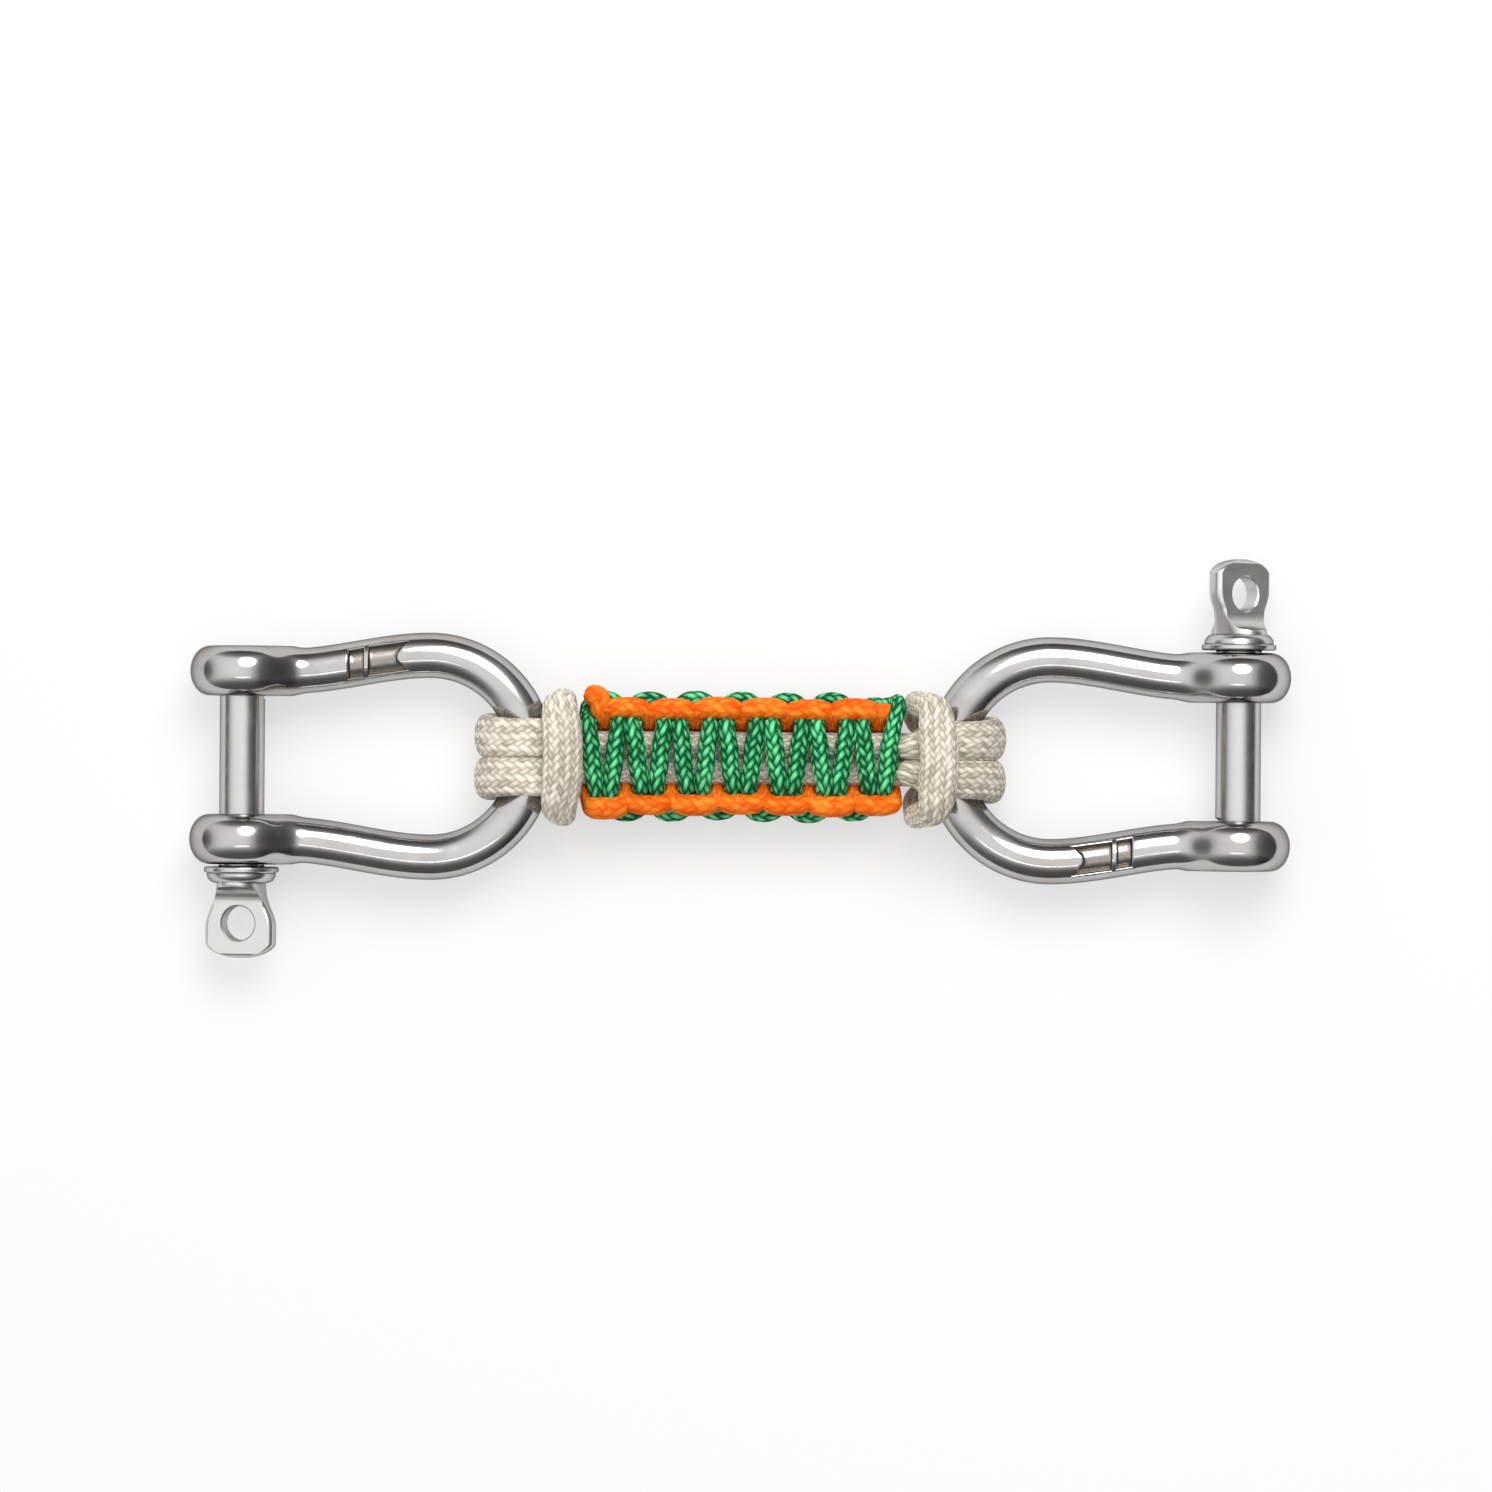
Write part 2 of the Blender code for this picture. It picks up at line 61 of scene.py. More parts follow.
LOG = logging.getLogger("shackle_strap")
X_AXIS = Vector((1, 0, 0))
Y_AXIS = Vector((0, 1, 0))
Z_AXIS = Vector((0, 0, 1))

# How close points are when they are merged: on a cord, on a new shape and on a cut piece.
CORD_MERGE = 1e-8
SKIN_MERGE = 1e-7
CUT_MERGE = 1e-6

# How finely a curve is followed between two stations, and a section's girth.
CURVE_STEPS = 24
GIRTH_STEPS = 361

Colour = tuple[float, float, float]
Place = tuple[float, float, float]
Station = tuple[float, ...]
Input = float | bpy.types.NodeSocket


class Side(Enum):
    """The two ends of the strap; the value is the way that an end's bow opens, seen from its crown."""

    LEFT = 1
    RIGHT = -1

    @property
    def word(self) -> str:
        """The side as it stands in node and body names."""
        return self.name.lower()


class Face(Enum):
    """The face of the strap that a knotting cord crosses on."""

    FRONT = 1
    BACK = -1


class Cut(Enum):
    """What a helper solid does to a piece."""

    JOIN = "UNION"
    REMOVE = "DIFFERENCE"


@dataclass(frozen=True)
class PerSide:
    """A value for each end of the strap."""

    left: float
    right: float

    def at(self, side: Side) -> float:
        """The value at one end."""
        return self.left if side is Side.LEFT else self.right


def smooth_step(value: np.ndarray) -> np.ndarray:
    """Eases 0..1 values in and out, and holds them outside that range."""
    held = np.clip(value, 0.0, 1.0)
    return held * held * (3.0 - 2.0 * held)


def smooth_path(stations: np.ndarray, spacing: float, closed: bool) -> np.ndarray:
    """Runs a smooth curve through stations and takes rows at an even spacing along it.

    Args:
        stations: One row per station; the first three columns are its place.
        spacing: Distance between the rows, in metres.
        closed: Whether the curve returns to its first station.

    Returns:
        Rows with the columns of the stations.
    """
    if closed:
        padded = np.vstack([stations[-1:], stations, stations[:2]])
    else:
        before = 2.0 * stations[:1] - stations[1:2]
        after = 2.0 * stations[-1:] - stations[-2:-1]
        padded = np.vstack([before, stations, after])
    share = np.linspace(0.0, 1.0, CURVE_STEPS, endpoint=False)[None, :, None]
    first, second, third, fourth = (padded[k : len(padded) - 3 + k, None, :] for k in range(4))
    curve = second + 0.5 * share * (
        (third - first)
        + share * (2.0 * first - 5.0 * second + 4.0 * third - fourth)
        + share * share * (3.0 * second - first - 3.0 * third + fourth)
    )
    rows = np.vstack([curve.reshape(-1, stations.shape[1]), stations[:1] if closed else stations[-1:]])
    along = np.concatenate([[0.0], np.cumsum(np.linalg.norm(np.diff(rows[:, :3], axis=0), axis=1))])
    count = round(along[-1] / spacing)
    at = np.linspace(0.0, along[-1], count, endpoint=not closed)
    return np.column_stack([np.interp(at, along, column) for column in rows.T])


def path_length(points: np.ndarray, closed: bool) -> float:
    """Measures a line of points.

    Args:
        points: One row per point.
        closed: Whether the last point joins the first.

    Returns:
        The length in metres.
    """
    ring = np.vstack([points, points[:1]]) if closed else points
    return float(np.linalg.norm(np.diff(ring, axis=0), axis=1).sum())


def directions(points: np.ndarray, closed: bool) -> np.ndarray:
    """Finds the unit direction of travel at each point of a line.

    Args:
        points: One row per point.
        closed: Whether the last point joins the first.

    Returns:
        One unit row per point.
    """
    if closed:
        step = np.roll(points, -1, axis=0) - np.roll(points, 1, axis=0)
    else:
        step = np.gradient(points, axis=0)
    return step / np.linalg.norm(step, axis=1)[:, None]


def wrap_sheet(rings: np.ndarray, closed: bool) -> bmesh.types.BMesh:
    """Wraps a grid round a line of rings, so that its UV map runs along the cord and round it.

    Args:
        rings: Ring count by side count by 3 places; a ring of one repeated place closes an end.
        closed: Whether the last ring joins the first.

    Returns:
        A closed skin.
    """
    count, sides = rings.shape[:2]
    steps = count if closed else count - 1
    form = bmesh.new()
    form.loops.layers.uv.new("run")
    bmesh.ops.create_grid(form, x_segments=steps, y_segments=sides, size=0.5, calc_uvs=True)
    for number, vert in enumerate(form.verts):
        vert.co = rings[number % (steps + 1) % count, number // (steps + 1) % sides]
    bmesh.ops.remove_doubles(form, verts=form.verts[:], dist=CORD_MERGE)
    bmesh.ops.recalc_face_normals(form, faces=form.faces[:])
    return form


def sweep(rings: np.ndarray) -> bmesh.types.BMesh:
    """Extrudes a round section from ring to ring and closes both ends.

    Args:
        rings: Ring count by side count by 3 places.

    Returns:
        A closed skin.
    """
    form = bmesh.new()
    front = bmesh.ops.create_circle(form, segments=rings.shape[1], radius=1.0)["verts"]
    for vert, place in zip(front, rings[0]):
        vert.co = place
    for ring in rings[1:]:
        edges = [form.edges.get((front[k - 1], front[k])) for k in range(len(front))]
        made = bmesh.ops.extrude_edge_only(form, edges=edges)["geom"]
        fresh = {item for item in made if isinstance(item, bmesh.types.BMVert)}
        front = [next(e.other_vert(v) for e in v.link_edges if e.other_vert(v) in fresh) for v in front]
        for vert, place in zip(front, ring):
            vert.co = place
    return closed_skin(form)


def lathe(outline: list[tuple[float, float]], steps: int, axis: Vector, along: Vector) -> bmesh.types.BMesh:
    """Spins an outline about an axis through the origin.

    Args:
        outline: Radius and height pairs from one end to the other.
        steps: Facets round the axis.
        axis: Unit vector along the axis.
        along: Unit vector across it, in the outline's plane.

    Returns:
        A closed skin.
    """
    form = bmesh.new()
    row = [form.verts.new(along * radius + axis * height) for radius, height in outline]
    edges = [form.edges.new(pair) for pair in zip(row, row[1:])]
    bmesh.ops.spin(
        form, geom=row + edges, cent=(0, 0, 0), axis=axis, angle=math.tau, steps=steps, use_merge=True
    )
    return closed_skin(form)


def closed_skin(form: bmesh.types.BMesh) -> bmesh.types.BMesh:
    """Merges doubled points, fills open ends and turns all faces outwards.

    Args:
        form: The shape to close.

    Returns:
        The same shape.
    """
    bmesh.ops.remove_doubles(form, verts=form.verts[:], dist=SKIN_MERGE)
    rims = [edge for edge in form.edges if edge.is_boundary]
    if rims:
        bmesh.ops.holes_fill(form, edges=rims, sides=0)
    bmesh.ops.recalc_face_normals(form, faces=form.faces[:])
    return form


def add_piece(name: str, form: bmesh.types.BMesh) -> bpy.types.Object:
    """Puts a shape into the scene as a smooth-shaded piece.

    Args:
        name: The piece's name.
        form: Its shape, in the part's frame; it is freed.

    Returns:
        The new object, at the origin.
    """
    for face in form.faces:
        face.smooth = True
    mesh = bpy.data.meshes.new(name)
    form.to_mesh(mesh)
    form.free()
    piece = bpy.data.objects.new(name, mesh)
    bpy.context.scene.collection.objects.link(piece)
    return piece


def cut(
    piece: bpy.types.Object,
    form: bmesh.types.BMesh,
    action: Cut,
    finish: bpy.types.Material | None = None,
) -> None:
    """Joins a helper solid to a piece, or takes it away, for good.

    Args:
        piece: The piece to change.
        form: The helper's shape; it is freed.
        action: What the helper does.
        finish: The finish that the helper leaves, if not the piece's own. Its faces with material 1 leave
            the piece's own all the same.
    """
    helper = add_piece("helper", form)
    for skin in (finish or piece.data.materials[0], piece.data.materials[0]):
        helper.data.materials.append(skin)
    modifier = piece.modifiers.new("helper", "BOOLEAN")
    modifier.operation = action.value
    modifier.solver = "EXACT"
    modifier.material_mode = "TRANSFER"
    modifier.object = helper
    seen = piece.evaluated_get(bpy.context.evaluated_depsgraph_get())
    old = piece.data
    piece.data = bpy.data.meshes.new_from_object(seen)
    piece.modifiers.remove(modifier)
    bpy.data.meshes.remove(old)
    bpy.data.meshes.remove(helper.data)


def tidy_edges(piece: bpy.types.Object, angle: float) -> None:
    """Cleans a cut piece's mesh and keeps its corners crisp.

    Args:
        piece: The piece to clean.
        angle: Edges sharper than this many degrees stay crisp.
    """
    form = bmesh.new()
    form.from_mesh(piece.data)
    bmesh.ops.remove_doubles(form, verts=form.verts[:], dist=CUT_MERGE)
    bmesh.ops.dissolve_degenerate(form, edges=form.edges[:], dist=CUT_MERGE)
    for face in form.faces:
        face.smooth = True
    form.to_mesh(piece.data)
    form.free()
    piece.data.set_sharp_from_angle(angle=math.radians(angle))


class NodeBoard:
    """Adds shader nodes to one material or world and wires them."""

    def __init__(self, owner: bpy.types.Material | bpy.types.World) -> None:
        """Clears the owner's board."""
        owner.use_nodes = True
        self.owner = owner
        self.tree = owner.node_tree
        self.tree.nodes.clear()

    def add(self, kind: str, inputs: dict | None = None, **settings: object) -> bpy.types.Node:
        """Adds a node.

        Args:
            kind: The node's type name.
            inputs: Values or output sockets by input name or number.
            settings: Plain properties of the node.

        Returns:
            The node.
        """
        node = self.tree.nodes.new(kind)
        for key, value in settings.items():
            setattr(node, key, value)
        for key, value in (inputs or {}).items():
            if isinstance(value, bpy.types.NodeSocket):
                self.tree.links.new(value, node.inputs[key])
            else:
                node.inputs[key].default_value = value
        return node

    def math(
        self, operation: str, first: Input, second: Input = 0.0, third: Input = 0.0
    ) -> bpy.types.NodeSocket:
        """Adds a math node on sockets or numbers and returns its output."""
        return self.add("ShaderNodeMath", {0: first, 1: second, 2: third}, operation=operation).outputs[0]

    def between(self, share: Input, low: Input, high: Input) -> bpy.types.NodeSocket:
        """Mixes two numbers by a share and returns the result."""
        return self.add("ShaderNodeMix", {0: share, 2: low, 3: high}, data_type="FLOAT").outputs[0]

    def tint(self, share: Input, low: Colour, high: Colour) -> bpy.types.NodeSocket:
        """Mixes two colours by a share and returns the result."""
        inputs = {0: share, 6: (*low, 1.0), 7: (*high, 1.0)}
        return self.add("ShaderNodeMix", inputs, data_type="RGBA").outputs[2]

    def ramp(self, value: Input, start: float, end: float) -> bpy.types.NodeSocket:
        """Stretches a range of a number to 0..1 and returns it."""
        inputs = {0: value, 1: start, 2: end}
        return self.add("ShaderNodeMapRange", inputs, interpolation_type="SMOOTHSTEP").outputs[0]

    def noise(self, vector: bpy.types.NodeSocket, scale: float, detail: float) -> bpy.types.NodeSocket:
        """Adds soft noise and returns it."""
        inputs = {"Vector": vector, "Scale": scale, "Detail": detail}
        return self.add("ShaderNodeTexNoise", inputs).outputs[0]

    def bump(
        self, height: bpy.types.NodeSocket, depth: float, under: bpy.types.NodeSocket | None = None
    ) -> bpy.types.NodeSocket:
        """Adds relief and returns its normal.

        Args:
            height: The relief, from 0 to 1.
            depth: How high 1 stands, in metres.
            under: The normal of the relief that it lies on, if there is any.

        Returns:
            The normal.
        """
        inputs = {"Strength": 1.0, "Distance": depth, "Height": height}
        if under is not None:
            inputs["Normal"] = under
        return self.add("ShaderNodeBump", inputs).outputs[0]

    def finish(
        self, shader: bpy.types.Node, output: str = "ShaderNodeOutputMaterial"
    ) -> bpy.types.Material | bpy.types.World:
        """Wires a shader to the output and returns the owner."""
        self.add(output, {"Surface": shader.outputs[0]})
        return self.owner


@dataclass(frozen=True)
class Steel:
    """Stainless steel: a little wavy from casting, with a warm cast in places and fine grain."""

    name: str
    clean: Colour = (0.50, 0.497, 0.492)
    warm: Colour = (0.455, 0.435, 0.42)
    roughness: float = 0.09
    dull: float = 0.16
    wave: float = 0.02 * MM
    grain: float = 0.003 * MM
    grain_scale: float = 5200.0
    lathe_lines: float = 0.0
    rim: float = 0.3
    cast_scale: float = 190.0
    smear_scale: float = 620.0
    wave_scale: float = 240.0
    line_scale: float = 1100.0
    warm_range: tuple[float, float] = (0.42, 0.66)
    dull_range: tuple[float, float] = (0.36, 0.72)

    def build(self) -> bpy.types.Material:
        """Makes the node material."""
        board = NodeBoard(bpy.data.materials.new(self.name))
        place = board.add("ShaderNodeTexCoord").outputs["Object"]
        cast = board.noise(place, self.cast_scale, 3.0)
        smear = board.noise(place, self.smear_scale, 5.0)
        tint = board.tint(board.ramp(cast, *self.warm_range), self.clean, self.warm)
        rough = board.between(board.ramp(smear, *self.dull_range), self.roughness, self.dull)
        skin = board.bump(board.noise(place, self.wave_scale, 1.0), self.wave)
        skin = board.bump(board.noise(place, self.grain_scale, 2.0), self.grain, skin)
        if self.lathe_lines:
            lines = board.add(
                "ShaderNodeTexWave",
                {"Vector": place, "Scale": self.line_scale, "Distortion": 2.0, "Detail": 2.0},
                bands_direction="Y",
            )
            skin = board.bump(lines.outputs["Fac"], self.lathe_lines, skin)
        shader = board.add(
            "ShaderNodeBsdfPrincipled",
            {
                "Base Color": tint,
                "Metallic": 1.0,
                "Roughness": rough,
                "Normal": skin,
                "Specular Tint": (self.rim, self.rim, self.rim, 1.0),
            },
        )
        return board.finish(shader)


@dataclass(frozen=True)
class BraidedCord:
    """A braided sheath whose yarns pass two over and two under, in columns of chevrons, with painted
    highlight and shade in its colour.
    """

    name: str
    # light and dark: the yarn colour on the crowns and in the grooves; their spread is partly painted
    # highlight and painted shade.
    light: Colour
    dark: Colour
    carriers: int
    repeats: int
    # crest: the range of tone that runs from dark to light, painted highlight and shade included.
    crest: tuple[float, float] = (0.2, 1.0)
    roughness: float = 0.5
    gloss: float = 0.45
    depth: float = 0.1 * MM
    melted: float = 0.0
    # outline: how far yarn height lightens the colour, a painted highlight on crowns and painted shade in
    # the grooves.
    outline: float = 0.8
    mottle: float = 0.3
    # lay_sheen: how much darker the under-lay yarns are painted, a painted sheen.
    lay_sheen: float = 0.0
    yarn_round: float = 2.4
    yarn_dip: float = 0.3
    yarn_rise: float = 0.7
    mean_height: float = 0.75
    melted_height: float = 0.45
    groove_roughness: float = 0.85
    fibres: float = 9.0
    fibre_length: float = 1.6
    fibre_tint: float = 0.5
    fibre_relief: float = 0.18
    wear_scale: float = 210.0
    wear_tint: float = 0.6

    def build(self) -> bpy.types.Material:
        """Makes the node material, which follows the cord's own UV map."""
        board = NodeBoard(bpy.data.materials.new(self.name))
        run = board.add("ShaderNodeUVMap", uv_map="run").outputs[0]
        split = board.add("ShaderNodeSeparateXYZ", {0: run})
        along = board.math("MULTIPLY", split.outputs[0], float(self.repeats))
        around = board.math("MULTIPLY", split.outputs[1], float(self.carriers))
        first = board.math("ADD", around, along)
        second = board.math("SUBTRACT", around, along)
        first_yarn = board.math("FLOOR", first)
        second_yarn = board.math("FLOOR", second)
        first_part = board.math("SUBTRACT", first, first_yarn)
        second_part = board.math("SUBTRACT", second, second_yarn)
        order = board.math("FLOORED_MODULO", board.math("ADD", first_yarn, second_yarn), 4.0)
        under = board.math("GREATER_THAN", order, 1.5)
        across = board.between(under, first_part, second_part)
        float_part = board.between(under, second_part, first_part)
        begun = board.math("MULTIPLY_ADD", under, -2.0, order)
        travel = board.math("MULTIPLY", board.math("ADD", begun, float_part), 0.5)
        edge = board.math("ABSOLUTE", board.math("MULTIPLY_ADD", across, 2.0, -1.0))
        crown = board.math("SUBTRACT", 1.0, board.math("POWER", edge, self.yarn_round))
        rise = board.math("SINE", board.math("MULTIPLY", travel, math.pi))
        level = board.math("MULTIPLY_ADD", rise, self.yarn_rise, self.yarn_dip)
        height = board.math("MULTIPLY", crown, level)
        yarn = board.add("ShaderNodeCombineXYZ", {0: first_yarn, 1: second_yarn, 2: under}).outputs[0]
        chance = board.add("ShaderNodeTexWhiteNoise", {"Vector": yarn}).outputs[0]
        strand_across = board.math("MULTIPLY", across, self.fibres)
        strand_along = board.math("MULTIPLY", travel, self.fibre_length)
        strand = board.add("ShaderNodeCombineXYZ", {0: strand_across, 1: strand_along, 2: chance})
        fibre = board.noise(strand.outputs[0], 1.0, 2.0)
        wear = board.noise(board.add("ShaderNodeTexCoord").outputs["Object"], self.wear_scale, 3.0)
        if self.melted:
            far = board.math("SUBTRACT", 1.0, split.outputs[0])
            kept = board.ramp(board.math("MINIMUM", split.outputs[0], far), 0.4 * self.melted, self.melted)
            height = board.between(kept, self.melted_height, height)
        # Painted light in the yarn colour: crowns are painted lighter as a painted highlight, grooves
        # between yarns darker as painted shade, and the under-lay yarns darker as a painted sheen. The
        # mottle, fibre and wear noise add the yarns' own random tone.
        tone_and_painted_sheen = board.math("MULTIPLY", height, self.outline)
        tone_and_painted_sheen = board.math("MULTIPLY_ADD", chance, self.mottle, tone_and_painted_sheen)
        tone_and_painted_sheen = board.math("MULTIPLY_ADD", under, -self.lay_sheen, tone_and_painted_sheen)
        for noise, strength in ((fibre, self.fibre_tint), (wear, self.wear_tint)):
            tone_and_painted_sheen = board.math("ADD", tone_and_painted_sheen, board.math("MULTIPLY_ADD", noise, strength, -0.5 * strength))
        tint = board.tint(board.ramp(tone_and_painted_sheen, *self.crest), self.dark, self.light)
        relief = board.math("MULTIPLY_ADD", fibre, self.fibre_relief, height)
        raised = board.ramp(height, 0.1, 0.9)
        shader = board.add(
            "ShaderNodeBsdfPrincipled",
            {
                "Base Color": tint,
                "Roughness": board.between(raised, self.groove_roughness, self.roughness),
                "Normal": board.bump(relief, self.depth),
                "Specular IOR Level": self.gloss,
            },
        )
        return board.finish(shader)

    def relief(self, along: np.ndarray, around: np.ndarray) -> np.ndarray:
        """Gives the height of the yarns at places on the cord, the same as the material's.

        Args:
            along: Share of the cord's length.
            around: Share of its girth.

        Returns:
            Heights from 0 between yarns to 1 on their crowns.
        """
        first = around * self.carriers + along * self.repeats
        second = around * self.carriers - along * self.repeats
        first_yarn, second_yarn = np.floor(first), np.floor(second)
        order = np.mod(first_yarn + second_yarn, 4.0)
        under = order > 1.5
        across = np.where(under, second - second_yarn, first - first_yarn)
        travel = (order - 2.0 * under + np.where(under, first - first_yarn, second - second_yarn)) / 2.0
        crown = 1.0 - np.abs(2.0 * across - 1.0) ** self.yarn_round
        return crown * (self.yarn_dip + self.yarn_rise * np.sin(math.pi * travel))


@dataclass
class ShackleBow:
    """A cast bow: one bar bent round a crown and out over its legs into two ball-shaped ears."""

    side: Side
    hinge: Vector
    bar: float = 5.0 * MM
    jaw_gap: float = 13.0 * MM
    bow_radius: float = 11.1 * MM
    pin_to_bow_centre: float = 20.7 * MM
    pin_to_hinge: float = 31.3614 * MM
    leg_straight: float = 5.0 * MM
    ear_diameter: float = 11.5 * MM
    ear_thickness: float = 5.5 * MM
    ear_face: float = 7.2 * MM
    root_blend: float = 2.0 * MM
    bore: float = 5.12 * MM
    bore_chamfer: float = 0.3 * MM
    panel_start: float = 11.8 * MM
    panel_width: float = 3.1 * MM
    panel_floor: float = 1.94 * MM
    short_pocket: float = 1.6 * MM
    panel_rib: float = 0.6 * MM
    long_pocket: float = 4.3 * MM
    pocket_notch: float = 1.3 * MM
    pocket_corner: float = 0.3 * MM
    pocket_rim: float = 0.25 * MM
    short_rims: tuple[float, float] = (1.5, 0.6)
    long_rims: tuple[float, float] = (0.6, 1.2)
    notch_round: float = 1.6
    flat_reach: float = 6.0 * MM
    bore_lead_in: float = 0.5 * MM
    bore_over_run: float = 2.0 * MM
    crisp_angle: float = 32.0
    sides: int = 56
    bore_sides: int = 72
    ear_rings: int = 26
    straight_rings: int = 18
    leg_rings: int = 44
    crown_rings: int = 44
    rim_rings: int = 6
    pocket_grid: int = 14
    search_steps: int = 40

    @property
    def ear_offset(self) -> float:
        """Distance from the bow's middle plane to the middle of an ear."""
        return (self.jaw_gap + self.ear_thickness) / 2.0

    def place(self) -> Matrix:
        """The move from this bow's own frame, with its pin's axis at the origin, to the part's frame."""
        turn = Matrix.Rotation(0.0 if self.side is Side.LEFT else math.pi, 4, "Z")
        return Matrix.Translation(self.hinge) @ turn @ Matrix.Translation((-self.pin_to_hinge, 0, 0))

    def leg_height(self, x: np.ndarray) -> np.ndarray:
        """How far the leg's middle stands from the bow's middle plane at a distance from the pin."""
        share = (x - self.leg_straight) / (self.pin_to_bow_centre - self.leg_straight)
        return self.ear_offset + (self.bow_radius - self.ear_offset) * smooth_step(share)

    def centreline(self) -> np.ndarray:
        """The bar's middle line from the tip of one ear round the crown to the other, as x and y rows."""
        ear = -self.ear_diameter / 2.0 * np.cos(np.linspace(0.0, math.pi / 2.0, self.ear_rings))
        straight = np.linspace(0.0, self.leg_straight, self.straight_rings)[1:]
        leg = np.linspace(self.leg_straight, self.pin_to_bow_centre, self.leg_rings)[1:]
        x = np.concatenate([ear, straight, leg])
        turn = np.linspace(0.0, math.pi / 2.0, self.crown_rings)[1:]
        half = np.vstack([
            np.column_stack([x, self.leg_height(x)]),
            np.column_stack([
                self.pin_to_bow_centre + self.bow_radius * np.sin(turn),
                self.bow_radius * np.cos(turn),
            ]),
        ])
        return np.vstack([half, half[-2::-1] * (1.0, -1.0)])

    def skin_distance(self, x: np.ndarray, y: np.ndarray, z: np.ndarray, reach: np.ndarray) -> np.ndarray:
        """Tells how far outside the casting's skin a place is.

        The bar runs softly into the ears, and near the pin nothing stands past their flat faces.

        Args:
            x: Distances from the pin's axis.
            y: Distances across the bow.
            z: Heights over the bow's plane.
            reach: Distances from the bar's middle line.

        Returns:
            Distances, below zero inside.
        """
        bar = np.where(x < 0.0, np.hypot(reach, x), reach) - self.bar / 2.0
        half = self.ear_thickness / 2.0
        swell = (self.ear_diameter - self.ear_face) / 2.0
        rim = np.maximum(np.hypot(x, z) - self.ear_face / 2.0, 0.0) / swell
        aside = np.abs(np.abs(y) - self.ear_offset)
        ear = (np.hypot(rim, aside / half) - 1.0) * swell
        share = np.clip(0.5 + 0.5 * (ear - bar) / self.root_blend, 0.0, 1.0)
        joined = ear + (bar - ear) * share - self.root_blend * share * (1.0 - share)
        return np.maximum(joined, aside - half - np.maximum(0.0, x - self.flat_reach))

    def rings(self) -> np.ndarray:
        """Sections of the casting along the bar's middle line."""
        line = self.centreline()
        travel = directions(line, closed=False)
        angle = np.linspace(0.0, math.tau, self.sides, endpoint=False)[None, :]
        out_x, out_y = -travel[:, 1:2] * np.cos(angle), travel[:, 0:1] * np.cos(angle)
        up = np.sin(angle) * np.ones_like(out_x)
        low, high = np.zeros_like(out_x), np.full_like(out_x, self.ear_diameter)
        for _ in range(self.search_steps):
            reach = (low + high) / 2.0
            x, y = line[:, 0:1] + reach * out_x, line[:, 1:2] + reach * out_y
            outside = self.skin_distance(x, y, reach * up, reach) > 0.0
            high = np.where(outside, reach, high)
            low = np.where(outside, low, reach)
        return np.dstack([line[:, 0:1] + low * out_x, line[:, 1:2] + low * out_y, low * up])

    def bore_cutter(self) -> bmesh.types.BMesh:
        """The pin's bore through both ears, with a small chamfer at each mouth."""
        radius, mouth = self.bore / 2.0, self.bore_chamfer
        inner, outer = self.jaw_gap / 2.0, self.jaw_gap / 2.0 + self.ear_thickness
        half = [
            (radius + mouth, inner - self.bore_lead_in),
            (radius + mouth, inner),
            (radius, inner + mouth),
            (radius, outer - mouth),
            (radius + mouth, outer),
            (radius + mouth, outer + self.bore_over_run),
            (0.0, outer + self.bore_over_run),
        ]
        outline = [(r, -h) for r, h in reversed(half)] + half
        return lathe(outline, self.bore_sides, Y_AXIS, X_AXIS)

    def pocket_cutter(
        self, start: float, end: float, notch: float, soft: tuple[float, float]
    ) -> bmesh.types.BMesh:
        """A shallow recess along the top of a leg: a round floor, hollow corners, steep walls, a soft rim.

        Args:
            start: Where the recess begins, from the pin's axis.
            end: Where it ends.
            notch: How far the bar runs into the end in its middle.
            soft: How wide the rim is at the start and the end, as shares of its width at the sides.

        Returns:
            The recess as a solid.
        """
        skin, floor, rim, hollow = self.bar / 2.0, self.panel_floor, self.pocket_rim, self.pocket_corner
        levels = [(-hollow, floor, 0.0), (-0.25 * hollow, floor, 0.25 * hollow), (0.0, floor, hollow)]
        for turn in np.radians(np.linspace(0.0, 90.0, self.rim_rings)):
            levels.append((rim * (1.0 - math.cos(turn)), skin, rim * (1.06 * math.sin(turn) - 1.0)))
        levels.append((1.3 * rim, skin, 0.4 * rim))
        form = bmesh.new()
        bmesh.ops.create_grid(form, x_segments=self.pocket_grid, y_segments=self.pocket_grid, size=0.5)
        layers, lid = [form.verts[:]], form.faces[:]
        for number in range(1, len(levels)):
            made = bmesh.ops.extrude_face_region(form, geom=lid)["geom"]
            if number > 1:
                bmesh.ops.delete(form, geom=lid, context="FACES")
            lid = [item for item in made if isinstance(item, bmesh.types.BMFace)]
            layers.append([item for item in made if isinstance(item, bmesh.types.BMVert)])
        middle = (start + end) / 2.0
        base = float(self.leg_height(np.array(middle)))
        slope = float(self.leg_height(np.array(end)) - self.leg_height(np.array(start))) / (end - start)
        for (grow, radius, lift), layer in zip(levels, layers):
            for vert in layer:
                if not vert.is_valid:
                    continue
                side = 2.0 * vert.co.y
                near = start - soft[0] * grow
                far = end - notch * (1.0 - abs(side) ** self.notch_round) + soft[1] * grow
                x, y = near + (vert.co.x + 0.5) * (far - near), side * (self.panel_width / 2.0 + grow)
                z = math.sqrt(radius**2 - y**2) + lift
                vert.co = (x, base + slope * (x - middle) + y, z)
        worn = {vert for layer in layers[3:] for vert in layer if vert.is_valid}
        for face in form.faces:
            face.material_index = int(worn.issuperset(face.verts))
        return closed_skin(form)

